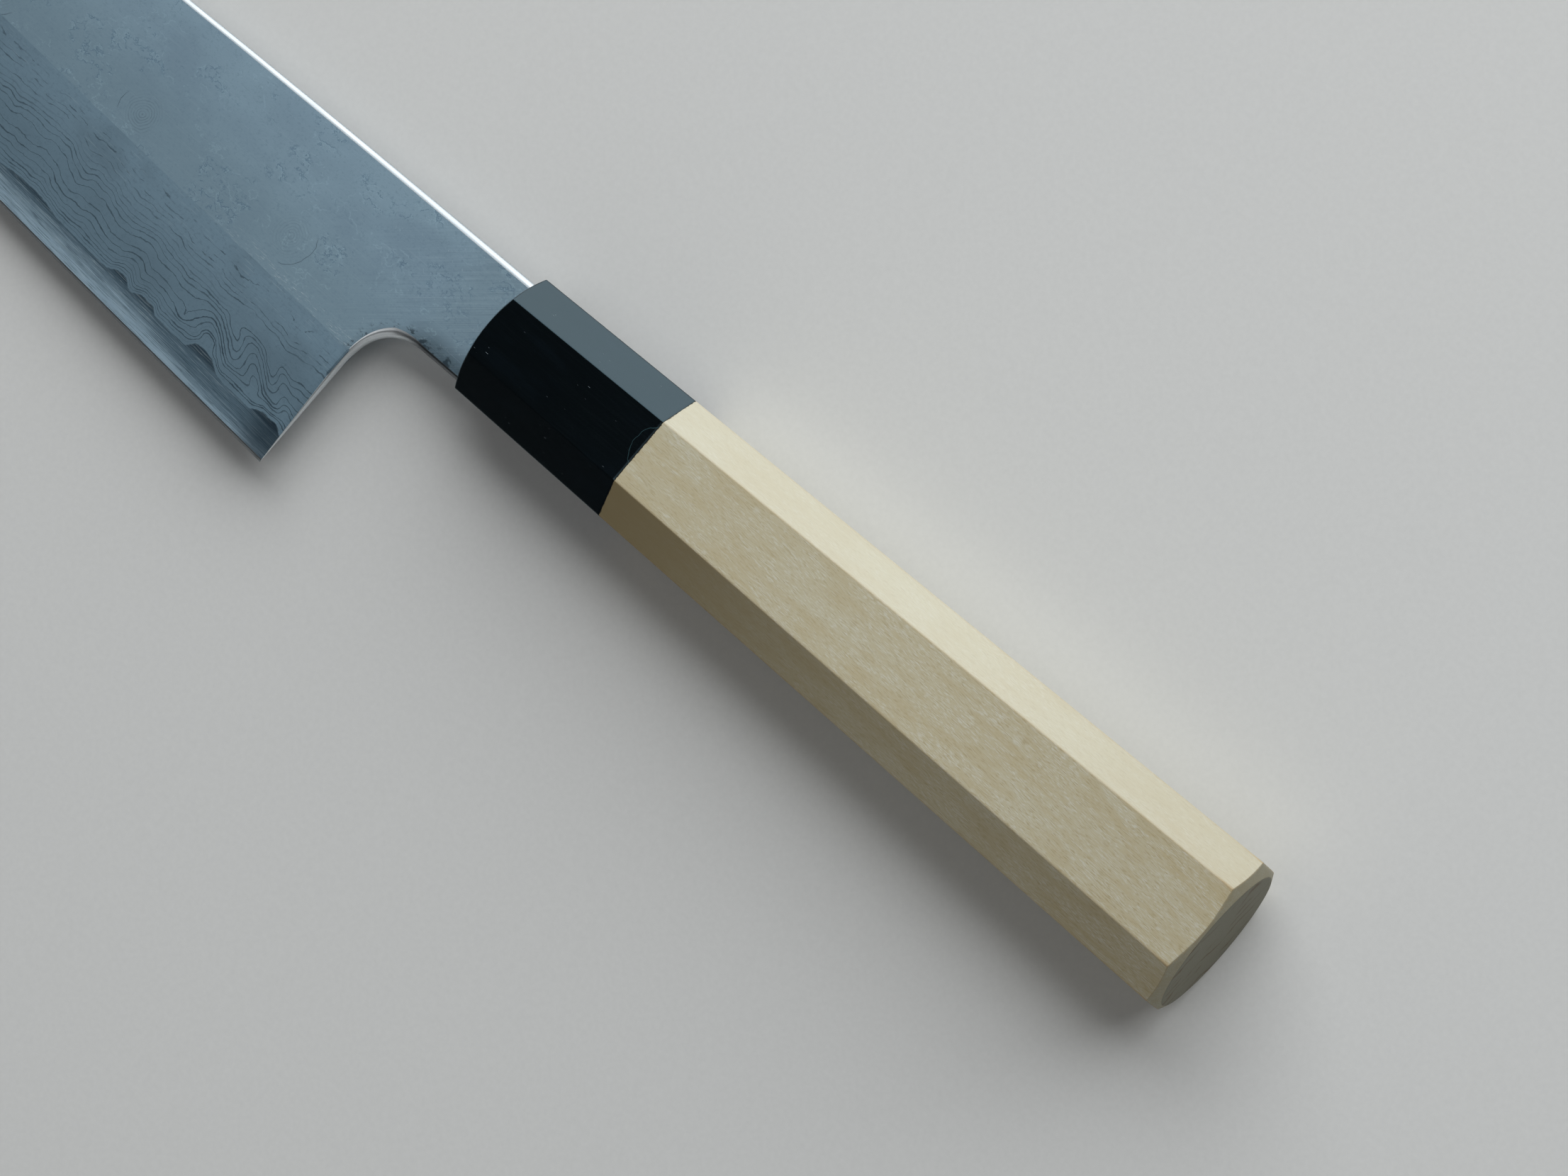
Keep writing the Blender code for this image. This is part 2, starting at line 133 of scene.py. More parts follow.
HEEL = Vector((-NECK_LENGTH, -HEEL_DEPTH, 0.0))
TIP = Vector((-TIP_REACH, -TIP_DEPTH, 0.0))
SHOULDER = -FIT_GAP


def polar(angle, length):
    return Vector((math.cos(angle), math.sin(angle), 0.0)) * length


def edge_line():
    heel_pull = HEEL + polar(math.pi - EDGE_LIFT, EDGE_FLAT_REACH)
    tip_pull = TIP + polar(-TIP_BELLY_ANGLE, TIP_BELLY_REACH)
    return interpolate_bezier(HEEL, heel_pull, tip_pull, TIP, EDGE_POINTS)


def even_steps(points, first, step):
    """The same line with a first step and then equal steps along it."""
    gaps = [(after - before).length for before, after in zip(points, points[1:])]
    along = np.concatenate(([0.0], np.cumsum(gaps)))
    stops = [0.0, *np.arange(first, along[-1] - step / 2, step), along[-1]]
    columns = [np.interp(stops, along, [point[axis] for point in points]) for axis in range(3)]
    return [Vector(place) for place in zip(*columns)]


def spine_line():
    start = Vector((SHOULDER, SPINE_HEIGHT, 0.0))
    start_pull = start + polar(math.pi, SPINE_FLAT_REACH)
    tip_pull = TIP + polar(TIP_SPINE_ANGLE, TIP_SPINE_REACH)
    return interpolate_bezier(start, start_pull, tip_pull, TIP, OUTLINE_POINTS)


def back_line(stops):
    """Up the heel's back, round the choil and along the neck, with a point at each height in stops."""
    foot = Vector((-NECK_LENGTH, -NECK_DEPTH - CHOIL_RISE, 0.0))
    end = Vector((-NECK_LENGTH + CHOIL_RUN, -NECK_DEPTH, 0.0))
    foot_pull = foot + Vector((0.0, CHOIL_RISE * CHOIL_FULLNESS, 0.0))
    end_pull = end - Vector((CHOIL_RUN * CHOIL_FULLNESS, 0.0, 0.0))
    heel_run = [HEEL.lerp(foot, i / HEEL_POINTS) for i in range(HEEL_POINTS)]
    hollow = interpolate_bezier(foot, foot_pull, end_pull, end, CHOIL_POINTS)
    points = [*heel_run, *hollow, Vector((SHOULDER, -NECK_DEPTH, 0.0))]
    for height in stops:
        after = next(i for i, point in enumerate(points) if point.y > height)
        low, high = points[after - 1], points[after]
        points.insert(after, low.lerp(high, (height - low.y) / (high.y - low.y)))
    return points


edge = even_steps(edge_line(), FIRST_STEP, EDGE_STEP)
spine = spine_line()
print(f"edge {sum((b - a).length for a, b in zip(edge, edge[1:])) / MM:.0f} mm along its curve")

# %% [markdown]
# ## The blade's section
# Cut across, the blade is a slim wedge: the upper flat tapers gently from spine to shinogi, the
# wide bevel falls to the edge, and a hair of a second bevel makes the edge itself. The spine's two
# shoulders and the whole choil are rounded and polished, so that they don't bite the hand.

# %% Set the section
SPINE_THICKNESS = 3.1 * MM
SHINOGI_THICKNESS = 2.4 * MM
TIP_THICKNESS = 0.9 * MM
BEVEL_WIDTH = 22.0 * MM
BEVEL_TIP_SHARE = 0.62
BEVEL_BLEND = 6
GRIND_WIDTH = 0.5 * MM
GRIND_ANGLE = math.radians(12.0)
GRIND_HALF = GRIND_WIDTH * math.tan(GRIND_ANGLE)
SPINE_CROWN = 1.0 * MM
SPINE_SHOULDER = 0.5
HEEL_CROWN = 0.5 * MM
CHOIL_CROWN = 1.3 * MM
CHOIL_FULLEST = CHOIL_RISE / 8
NECK_CROWN = 0.6 * MM
CROWN_STEPS = 9
BEVEL_ROWS = 56


def mix(start, end, share):
    return start + (end - start) * share


def spine_height_at(x):
    for right, left in zip(spine, spine[1:]):
        if left.x <= x:
            return mix(left.y, right.y, (x - left.x) / (right.x - left.x))
    return TIP.y


def bevel_width(point):
    near_tip = BEVEL_TIP_SHARE * (spine_height_at(point.x) - point.y)
    return (BEVEL_WIDTH**-BEVEL_BLEND + near_tip**-BEVEL_BLEND) ** (-1 / BEVEL_BLEND)


HEEL_BEVEL = bevel_width(HEEL)
SHINOGI_Y = HEEL.y + HEEL_BEVEL
RISE_Y = (SPINE_THICKNESS - SHINOGI_THICKNESS) / 2 / (SPINE_HEIGHT - SHINOGI_Y)
RISE_X = ((SPINE_THICKNESS - TIP_THICKNESS) / 2 - RISE_Y * (SPINE_HEIGHT - TIP.y)) / (HEEL.x - TIP.x)


def flat_half(point):
    """Half thickness on the upper flat, which is one plane on each side."""
    return SPINE_THICKNESS / 2 + RISE_X * (point.x - HEEL.x) + RISE_Y * (point.y - SPINE_HEIGHT)


def side_half(point):
    """Half thickness along the back of the heel, the choil and the neck."""
    if point.y >= SHINOGI_Y:
        return flat_half(point)
    climb = max((point.y - HEEL.y - GRIND_WIDTH) / (HEEL_BEVEL - GRIND_WIDTH), 0.0)
    return mix(GRIND_HALF, flat_half(Vector((point.x, SHINOGI_Y, 0.0))), climb)


print(f"bevel {HEEL_BEVEL / MM:.1f} mm wide at the heel, flat rises {math.degrees(RISE_Y):.2f} degrees")

# %% [markdown]
# ## One blank, three layers
# A laminated blade is forged from a hard core between two soft claddings, then ground to shape.
# We follow the smith: grind one blank, then part it along the two weld planes. Half of the blank is
# built from rows of points and mirrored. Each face remembers which zone of the blade it lies in, so
# that polish, satin and etch can meet along crisp lines.

# %% Grind half of the blank
FLAT, BEVEL, GRIND, RIM, WELD = range(5)
TANG_HEIGHT = 10.0 * MM
TANG_END_HEIGHT = 6.0 * MM
TANG_THICKNESS = 2.6 * MM
TANG_END_THICKNESS = 1.8 * MM
TANG_POINT_LENGTH = 8.0 * MM
TANG_POINT_HEIGHT = 2.0 * MM


def left_normals(points):
    normals = []
    for i in range(len(points)):
        ahead = points[min(i + 1, len(points) - 1)] - points[max(i - 1, 0)]
        normals.append(Vector((-ahead.y, ahead.x, 0.0)).normalized())
    return normals


def crown_columns(bm, ridge, normals, depths, half, shoulder=1.0):
    """Columns of points from a ridge, over its rounding, to the blade's side.

    The rounding takes up the shoulder share of the half thickness, and the rest stays flat."""
    columns = []
    for point, normal, depth in zip(ridge, normals, depths):
        reach = half(point + normal * depth)
        flat = reach * (1 - shoulder)
        turns = (math.pi / 2 * step / CROWN_STEPS for step in range(CROWN_STEPS + 1))
        arc = [(depth * (1 - math.cos(turn)), mix(flat, reach, math.sin(turn))) for turn in turns]
        if flat > 0:
            arc.insert(0, (0.0, 0.0))
        places = ((point + normal * sink, z) for sink, z in arc)
        columns.append([bm.verts.new((place.x, place.y, z)) for place, z in places])
    return columns


def face(bm, zone, *corners):
    bm.faces.new(corners).material_index = zone


def strip(bm, zone, first, second):
    for i in range(len(first) - 1):
        face(bm, zone, first[i], first[i + 1], second[i + 1], second[i])


def back_depths(back, shinogi):
    """Rounding along the back line: nothing at the heel's corner and most in the choil."""
    fullest = next(i for i, point in enumerate(back) if point.y > -NECK_DEPTH - CHOIL_FULLEST)
    last = len(back) - 1
    stops = (0, shinogi, fullest, last)
    return np.interp(range(len(back)), stops, (0.0, HEEL_CROWN, CHOIL_CROWN, NECK_CROWN))


def tang_half(x):
    """Half height and half thickness of the tang, which ends in a blunt point."""
    share = x / TANG_END
    height = mix(TANG_HEIGHT, TANG_END_HEIGHT, share) if x < TANG_END else TANG_POINT_HEIGHT
    return height / 2, mix(TANG_THICKNESS, TANG_END_THICKNESS, share) / 2


def tang_rings(bm):
    """Half sections of the tang from the neck's shoulder to its point."""
    rings = []
    for x in (SHOULDER, TANG_END - TANG_POINT_LENGTH, TANG_END):
        height, thick = tang_half(x)
        corners = ((-height, 0.0), (-height, thick), (height, thick), (height, 0.0))
        rings.append([bm.verts.new((x, y, z)) for y, z in corners])
    return rings


def blade_blank():
    bm = bmesh.new()
    back = back_line((HEEL.y + GRIND_WIDTH, SHINOGI_Y))
    shinogi = next(i for i, point in enumerate(back) if point.y >= SHINOGI_Y)
    spine_normals = left_normals(spine)
    spine_normals[0] = Vector((0.0, -1.0, 0.0))
    spine_depths = [SPINE_CROWN * flat_half(point) * 2 / SPINE_THICKNESS for point in spine]
    spine_columns = crown_columns(bm, spine[:-1], spine_normals, spine_depths, flat_half, SPINE_SHOULDER)
    back_normals = left_normals(back)
    back_normals[-1] = Vector((0.0, 1.0, 0.0))
    depths = back_depths(back, shinogi)
    back_columns = crown_columns(bm, back[1:], back_normals[1:], depths[1:], side_half)

    heel, tip = bm.verts.new(HEEL), bm.verts.new(TIP)
    edge_row, grind_row, shinogi_row = [heel], [back_columns[0][-1]], [back_columns[shinogi - 1][-1]]
    bevel_columns = []
    for point, normal in list(zip(edge, left_normals(edge)))[1:-1]:
        grind = point - normal * GRIND_WIDTH
        grind.z = GRIND_HALF
        ridge = point - normal * bevel_width(point)
        ridge.z = flat_half(ridge)
        shares = (row / BEVEL_ROWS for row in range(BEVEL_ROWS + 1))
        bevel_columns.append([bm.verts.new(grind.lerp(ridge, share)) for share in shares])
        edge_row.append(bm.verts.new(point))
        grind_row.append(bevel_columns[-1][0])
        shinogi_row.append(bevel_columns[-1][-1])

    spine_side = [column[-1] for column in spine_columns]
    heel_side = [column[-1] for column in back_columns[: shinogi - 1]]
    neck_side = [column[-1] for column in back_columns[shinogi:]]
    strip(bm, GRIND, edge_row, grind_row)
    for near, far in zip(bevel_columns, bevel_columns[1:]):
        strip(bm, BEVEL, near, far)
    face(bm, BEVEL, *bevel_columns[0], shinogi_row[0], *reversed(heel_side))
    face(bm, FLAT, *shinogi_row, *reversed(spine_side), *reversed(neck_side))
    face(bm, GRIND, tip, edge_row[-1], grind_row[-1])
    face(bm, BEVEL, tip, *bevel_columns[-1])
    face(bm, FLAT, tip, shinogi_row[-1], spine_side[-1])
    for centre, column in ((tip, spine_columns[-1][::-1]), (heel, back_columns[0])):
        for low, high in zip(column, column[1:]):
            face(bm, RIM, centre, low, high)
    for columns in (spine_columns, back_columns):
        for near, far in zip(columns, columns[1:]):
            strip(bm, RIM, near, far)

    tang = tang_rings(bm)
    face(bm, WELD, *spine_columns[0], *reversed(back_columns[-1]), *tang[0])
    for near, far in zip(tang, tang[1:]):
        strip(bm, WELD, near, far)
    face(bm, WELD, *tang[-1])
    everything = [*bm.verts, *bm.edges, *bm.faces]
    bmesh.ops.mirror(bm, geom=everything, matrix=Matrix(), merge_dist=WELD_GAP, axis="Z")
    return bm


blank = blade_blank()
print(f"blank: {len(blank.verts)} points, {len(blank.faces)} faces")

# %% [markdown]
# Parting is a bisect with a plane: what lies beyond it is thrown away, and the open cut is filled.
# Smooth shading then needs to know its creases. Zones meet at creases on the real blade too, so an
# edge between two zones is marked sharp, and everything within a zone stays smooth.

# %% Part the layers
def cut(bm, z, keep_above):
    everything = [*bm.verts, *bm.edges, *bm.faces]
    made = bmesh.ops.bisect_plane(
        bm, geom=everything, dist=WELD_GAP, plane_co=(0, 0, z), plane_no=(0, 0, 1),
        clear_inner=keep_above, clear_outer=not keep_above,
    )
    rim = [part for part in made["geom_cut"] if isinstance(part, bmesh.types.BMEdge)]
    filled = bmesh.ops.triangle_fill(bm, use_beauty=True, edges=rim)
    for part in filled["geom"]:
        if isinstance(part, bmesh.types.BMFace):
            part.material_index = WELD


def new_piece(name, bm, *nodes):
    """A mesh piece on the bench, which stands for the named solids of the frame."""
    bmesh.ops.recalc_face_normals(bm, faces=bm.faces)
    mesh = bpy.data.meshes.new(name)
    bm.to_mesh(mesh)
    bm.free()
    mesh.shade_smooth()
    piece = put(name, mesh)
    piece.location = BENCH
    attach(piece, "root")
    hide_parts(*nodes)
    return piece


def blade_layer(name, node, low, high):
    bm = blank.copy()
    if low is not None:
        cut(bm, low, keep_above=True)
    if high is not None:
        cut(bm, high, keep_above=False)
    bmesh.ops.triangulate(bm, faces=bm.faces)
    for line in bm.edges:
        zones = {wall.material_index for wall in line.link_faces}
        line.smooth = len(zones) == 1 and WELD not in zones
    return new_piece(name, bm, node)


core = blade_layer("blade_core", "core_steel", -CORE_HALF, CORE_HALF)
left_clad = blade_layer("blade_left_clad", "left_cladding", CORE_HALF, None)
right_clad = blade_layer("blade_right_clad", "right_cladding", None, -CORE_HALF)
blank.free()
blade_layers = (core, left_clad, right_clad)
for layer in blade_layers:
    print(f"{layer.name}: {len(layer.data.polygons)} faces")

# %% [markdown]
# ## A map of the folded layers
# The cladding is soft iron and steel, folded many times. Grinding the bevel cuts across the layers,
# and hammer marks make them wave, bulge and close into loops. Drawing the lines one by one would be
# dull work, so we make a map of the layers' height instead: the distance from the edge, less a sway
# of bulges and waves. Each point of the mesh keeps its height, and the finish draws the lines.

# %% Map the layers
LAYERS = (
    4.6, 5.05, 5.5, 6.0, 6.6, 7.4, 8.4, 9.5, 11.2, 12.3,
    13.1, 13.8, 14.6, 15.7, 16.5, 17.3, 18.2, 19.3, 30.0,
)
BULGES = ((-20.4, 2.7, 1.9), (-34.9, 2.8, 2.5), (-47.9, 2.1, 1.3), (-53.8, 2.0, 1.3), (-74.5, 5.0, 0.8))
LOOP_START, LOOP_PITCH = 2.12, 1.28
ISLAND = (-42.1, 7.6, 1.5, 0.8)
WAVES = ((1.1, (19.0, 16.0), 1.5), (1.2, (5.5, 10.0), 2.5), (0.42, (2.0, 4.0), 3.5))
NUDGE = 0.05
LEAST_SLOPE = 0.15
EDGE_SKIP = 4


def edge_distance(places):
    """Distance of each place from the cutting edge, seen from the side, in millimetres."""
    line = np.array([point[:2] for point in (*edge[:-1:EDGE_SKIP], edge[-1])]) / MM
    starts, runs = line[:-1], np.diff(line, axis=0)
    offsets = places[:, None, :2] - starts[None]
    along = np.clip((offsets * runs).sum(2) / (runs**2).sum(1), 0.0, 1.0)
    return np.linalg.norm(offsets - along[..., None] * runs, axis=2).min(1)


def step(value, low, high):
    share = np.clip((value - low) / (high - low), 0.0, 1.0)
    return share * share * (3 - 2 * share)


def ripple(x, rise, side, length, seed):
    """Smooth waves between about -1 and 1."""
    spots = zip(x / length[0], rise / length[1], seed + 20 * side)
    return np.array([noise.noise(spot) for spot in spots])


def bulge(x, side):
    """How far the core pushes the first layer up: known bulges by the heel, chance ones elsewhere."""
    known = sum(height * np.exp(-(((x - middle) / half) ** 4)) for middle, half, height in BULGES)
    chance = 1.9 * step(ripple(x, 0 * x, side, (6.0, 1.0), 5.5), 0.05, 0.5)
    return np.where(side > 0, chance + (known - chance) * step(x, -92.0, -84.0), chance)


def layer_map(x, rise, side):
    """Number of the layer at each spot, 0 at the core."""
    above = np.maximum(rise - LAYERS[0], 0.0)
    turns = np.sqrt(np.maximum(HEEL.x / MM - x + 11.0 - rise, 0.4))
    heel = step(x, -44.0, -37.0) * step(rise, 6.2, 8.2) * (1 - step(rise, 11.0, 14.0))
    loops = 1.9 * np.cos(2 * math.pi * (turns - LOOP_START) / LOOP_PITCH) * heel * step(turns, 1.2, 3.4)
    waves = sum(height * ripple(x, rise, side, length, seed) for height, length, seed in WAVES)
    sway = bulge(x, side) * np.exp(-above / 3.4) + loops + waves * step(rise, 4.4, 8.0)
    island = np.exp(-(((x - ISLAND[0]) / ISLAND[2]) ** 2) - ((rise - ISLAND[1]) / ISLAND[3]) ** 2)
    height = rise - sway + 1.1 * island * (side > 0)
    return np.interp(height, LAYERS, range(len(LAYERS))) + np.minimum(height - LAYERS[0], 0.0)


def keep(piece, word, values):
    piece.data.attributes.new(word, "FLOAT", "POINT").data.foreach_set("value", values)


for layer in blade_layers:
    places = np.array([point.co for point in layer.data.vertices]) / MM
    rise = edge_distance(places)
    x, side = places[:, 0], np.sign(places[:, 2])
    here = layer_map(x, rise, side)
    along = (layer_map(x + NUDGE, rise, side) - here) / NUDGE
    across = (layer_map(x, rise + NUDGE, side) - here) / NUDGE
    keep(layer, "rise", rise)
    keep(layer, "layers", here)
    keep(layer, "slope", np.hypot(along, across) + LEAST_SLOPE)
    print(f"{layer.name}: layers {here.min():.1f} to {here.max():.1f}")

# %% [markdown]
# ## The handle
# An octagonal handle is planed flat on eight sides and then softened: a few strokes of fine paper
# ease every corner, and an oval chamfer at each end leaves a small arc on every facet. Bevel
# modifiers would struggle with those arcs, so the skin is a loft. Each ring is an octagon with
# rounded corners, pulled in wherever the chamfer's oval cone is the smaller of the two.

# %% Draw one ring of the handle
FRONT_HEIGHT, FRONT_WIDTH, FRONT_ACROSS = 20.9 * MM, 19.4 * MM, 21.3 * MM
BUTT_HEIGHT, BUTT_WIDTH, BUTT_ACROSS = 25.3 * MM, 21.0 * MM, 25.0 * MM
FACET_TURN = math.radians(48.5)
FRONT_OVAL = (19.3 * MM / 2, 18.0 * MM / 2)
BUTT_OVAL = (23.4 * MM / 2, 19.9 * MM / 2)
CHAMFER_SPREAD = 2.0
HORN_EASE = 0.28 * MM
WOOD_EASE = 0.45 * MM
CORNER_STEPS = 6
FACET_STEPS = 10


def octagon(x):
    share = x / BUTT
    height = mix(FRONT_HEIGHT, BUTT_HEIGHT, share) / 2
    width = mix(FRONT_WIDTH, BUTT_WIDTH, share) / 2
    across = mix(FRONT_ACROSS, BUTT_ACROSS, share) / 2
    spine_half = (across - height * math.cos(FACET_TURN)) / math.sin(FACET_TURN)
    cheek_half = (across - width * math.sin(FACET_TURN)) / math.cos(FACET_TURN)
    quarter = ((height, spine_half), (cheek_half, width))
    corners = [*quarter, *((-y, z) for y, z in reversed(quarter))]
    corners += [(-y, -z) for y, z in corners]
    return [Vector(corner) for corner in corners]


def corner_arc(before, corner, after, radius):
    """Points of a fillet at one corner of the octagon."""
    into, out = (corner - before).normalized(), (after - corner).normalized()
    turn = into.angle(out)
    inward = (out - into).normalized()
    centre = corner + inward * radius / math.cos(turn / 2)
    sweeps = (mix(-turn / 2, turn / 2, step / CORNER_STEPS) for step in range(CORNER_STEPS + 1))
    tangent = (into + out).normalized()
    return [centre + (tangent * math.sin(sweep) - inward * math.cos(sweep)) * radius for sweep in sweeps]


def eased_octagon(x, radius):
    """Points of the section, each with its wear: 1 on a corner, 0 on a facet."""
    corners = octagon(x)
    arcs = [corner_arc(corners[i - 1], corners[i], corners[(i + 1) % 8], radius) for i in range(8)]
    points = []
    for i, arc in enumerate(arcs):
        points += [(point, 1.0) for point in arc]
        reach = arcs[(i + 1) % 8][0]
        for turn in range(1, FACET_STEPS):
            share = (1 - math.cos(math.pi * turn / FACET_STEPS)) / 2
            points.append((arc[-1].lerp(reach, share), 0.0))
    return points


def oval_reach(direction, half_height, half_width):
    return 1 / math.hypot(direction.x / half_height, direction.y / half_width)


def soft_least(first, second, softness):
    """The smaller of two lengths with their crossing rounded off, and how near the crossing is."""
    near = max(softness - abs(first - second), 0.0) / softness
    return min(first, second) - near * near * softness / 4, near


def handle_ring(x, radius, softness):
    """The handle's skin at x, with both chamfers. The fourth number of a point is its wear."""
    points = []
    for point, wear in eased_octagon(x, radius):
        side = reach = point.length
        direction = point / reach
        for oval, depth in ((FRONT_OVAL, x), (BUTT_OVAL, BUTT - x)):
            spread = CHAMFER_SPREAD * depth
            cone = oval_reach(direction, oval[0] + spread, oval[1] + spread)
            reach, near = soft_least(reach, cone, softness)
            wear = max(wear * (cone > side), near)
        points.append(Vector((x, *(direction * reach), wear)))
    return points


print(f"a ring has {len(eased_octagon(BUTT / 2, WOOD_EASE))} points")

# %% [markdown]
# The handle is hollow where the tang and the dowel sit. A loft can turn the corner at the joint and
# run back inside, so the bore and the slot are simply more rings: a circle for the dowel, a
# rectangle for the tang and a slot with round ends for the resin collar. The horn has a hole right
# through, so its last ring joins its first. The wood's bore is blind, so both ends are closed.

# %% Loft the horn and the wood
HORN_SOFTNESS = 0.12 * MM
WOOD_SOFTNESS = 0.22 * MM
HORN_RINGS = 8
WOOD_RINGS = 24
CHAMFER_END = 1.6 * MM
CHAMFER_STEPS = 26
END_EASE = 0.12 * MM
SEAL_DEPTH = 4.0 * MM
SEAL_WALL = 0.8 * MM
HORN_WALL = 9.0 * MM
DOWEL_REACH = 22.0 * MM
BORE_FRONT = HORN_WALL - FIT_GAP
BORE_BACK = JOINT + DOWEL_REACH + FIT_GAP
DOWEL_WALL = 1.6 * MM
CREASE = math.radians(50.0)


def tang_slot(x):
    """Half height and half thickness of the tang's slot."""
    height, thick = tang_half(x)
    return height + FIT_GAP, thick + FIT_GAP


def slot_ring(x, like):
    height, thick = tang_slot(x)
    directions = [point.yz.normalized() for point in like]
    reaches = [min(height / max(abs(d.x), TINY), thick / max(abs(d.y), TINY)) for d in directions]
    return [Vector((x, *(d * reach))) for d, reach in zip(directions, reaches)]


def bore_ring(x, like):
    height, thick = tang_slot(HORN_WALL)
    radius = math.hypot(height, thick) + DOWEL_WALL + FIT_GAP
    return [Vector((x, *(point.yz.normalized() * radius))) for point in like]


def collar_ring(x, like):
    """The pocket of the resin collar, a slot with round ends."""
    half_height = TANG_HEIGHT / 2 + 2 * FIT_GAP + SEAL_WALL
    half_width = TANG_THICKNESS / 2 + 2 * FIT_GAP + SEAL_WALL
    straight = half_height - half_width
    points = []
    for point in like:
        d = point.yz.normalized()
        reach = half_width / max(abs(d.y), TINY)
        if abs(d.x) * reach > straight:
            reach = abs(d.x) * straight + math.sqrt(half_width**2 - (d.y * straight) ** 2)
        points.append(Vector((x, *(d * reach))))
    return points


def shrunk(points, x, inset):
    return [Vector((x, *(point.yz - point.yz.normalized() * inset), point.w)) for point in points]


def loft(rings, ring_shut):
    bm = bmesh.new()
    worn = bm.verts.layers.float.new("wear")
    rows = []
    for points in rings:
        rows.append([bm.verts.new(point[:3]) for point in points])
        for corner, point in zip(rows[-1], points):
            corner[worn] = point[3] if len(point) == 4 else 0.0
    pairs = list(zip(rows, rows[1:]))
    if ring_shut:
        pairs.append((rows[-1], rows[0]))
    else:
        bm.faces.new(rows[0])
        bm.faces.new(rows[-1])
    for near, far in pairs:
        for i in range(len(near)):
            bm.faces.new((near[i - 1], near[i], far[i], far[i - 1]))
    return bm


def chamfer_stops():
    return [CHAMFER_END * (step / CHAMFER_STEPS) for step in range(1, CHAMFER_STEPS + 1)]


def run_to_joint(outside, end, way, rings):
    """Rings from a chamfered end to the joint with its eased rim, and the joint's own ring."""
    far = JOINT - way * 3 * END_EASE
    skin = [outside(end + way * x) for x in chamfer_stops()]
    skin += [outside(x) for x in np.linspace(end + way * CHAMFER_END, far, rings)[1:]]
    skin += [outside(JOINT - way * END_EASE)]
    rim = outside(JOINT)
    skin += [shrunk(rim, JOINT - way * END_EASE / 4, END_EASE / 4), shrunk(rim, JOINT, END_EASE)]
    return skin, rim


def horn_skin():
    def outside(x):
        return handle_ring(x, HORN_EASE, HORN_SOFTNESS)

    mouth = outside(0.0)
    skin = [shrunk(mouth, 0.0, inset) for inset in (3 * END_EASE, END_EASE)]
    skin += [shrunk(outside(END_EASE / 4), END_EASE / 4, END_EASE / 3)]
    run, rim = run_to_joint(outside, 0.0, 1, HORN_RINGS)
    inside = [bore_ring(JOINT, rim), bore_ring(BORE_FRONT, rim), slot_ring(BORE_FRONT, rim)]
    pocket = SEAL_DEPTH + FIT_GAP
    inside += [slot_ring(pocket, rim), collar_ring(pocket, rim), collar_ring(0.0, rim)]
    return skin + run + inside


def wood_skin():
    def outside(x):
        return handle_ring(x, WOOD_EASE, WOOD_SOFTNESS)

    butt = outside(BUTT)
    skin = [shrunk(butt, BUTT, inset) for inset in (5 * END_EASE, 1.5 * END_EASE)]
    skin += [shrunk(outside(BUTT - END_EASE / 3), BUTT - END_EASE / 3, END_EASE / 2)]
    run, rim = run_to_joint(outside, BUTT, -1, WOOD_RINGS)
    inside = [bore_ring(JOINT, rim), bore_ring(BORE_BACK, rim), slot_ring(BORE_BACK, rim)]
    inside += [slot_ring(TANG_END - TANG_POINT_LENGTH, rim), slot_ring(TANG_END + FIT_GAP, rim)]
    return skin + run + inside


horn = new_piece("horn_ferrule", loft(horn_skin(), True), "ferrule")
wood = new_piece("magnolia_handle", loft(wood_skin(), False), "handle_body")
for piece in (horn, wood):
    piece.data.set_sharp_from_angle(angle=CREASE)
    print(f"{piece.name}: {len(piece.data.polygons)} faces")

# %% [markdown]
# ## A little language for finishes
# A finish is a graph of nodes, and graphs are tedious to write link by link. This class wraps one
# output, so that sums of outputs read as Python and turn into Math nodes by themselves. Vectors go
# through Vector Math, colours through Mix, and every other node comes from one method. A painter
# builds a finish from thin coats, and so do we: each coat is a colour and the share that it covers.

# %% Wrap a node's output
class Wire:
    """One output of a node."""

    def __init__(self, socket):
        self.socket = socket

    def node(self, kind, settings=None, sockets=None, output=0):
        """Adds a node beside this one: its settings first, then values or wires for its sockets."""
        tree = self.socket.id_data
        made = tree.nodes.new("ShaderNode" + kind)
        for name, value in (settings or {}).items():
            setattr(made, name, value)
        for name, value in (sockets or {}).items():
            if isinstance(value, Wire):
                tree.links.new(value.socket, made.inputs[name])
            else:
                made.inputs[name].default_value = value
        return Wire(made.outputs[output])

    def pair(self, operation, first, second):
        kind = "VectorMath" if self.socket.type == "VECTOR" else "Math"
        return self.node(kind, {"operation": operation}, {0: first, 1: second})

    def __add__(self, other):
        return self.pair("ADD", self, other)

    __radd__ = __add__

    def __sub__(self, other):
        return self.pair("SUBTRACT", self, other)

    def __rsub__(self, other):
        return self.pair("SUBTRACT", other, self)

    def __mul__(self, other):
        return self.pair("MULTIPLY", self, other)

    __rmul__ = __mul__

    def __truediv__(self, other):
        return self.pair("DIVIDE", self, other)

    def __pow__(self, other):
        return self.pair("POWER", self, other)

    def __gt__(self, other):
        return self.pair("GREATER_THAN", self, other)

    def __abs__(self):
        return self.part("ABSOLUTE")

    def part(self, operation):
        """The fraction, the whole part or another one-handed sum of a value."""
        return self.node("Math", {"operation": operation}, {0: self})


def ramp(value, low, high):
    """0 at low, 1 at high and a soft climb between."""
    ends = {"Value": value, "From Min": low, "From Max": high}
    return value.node("MapRange", {"interpolation_type": "SMOOTHSTEP"}, ends)


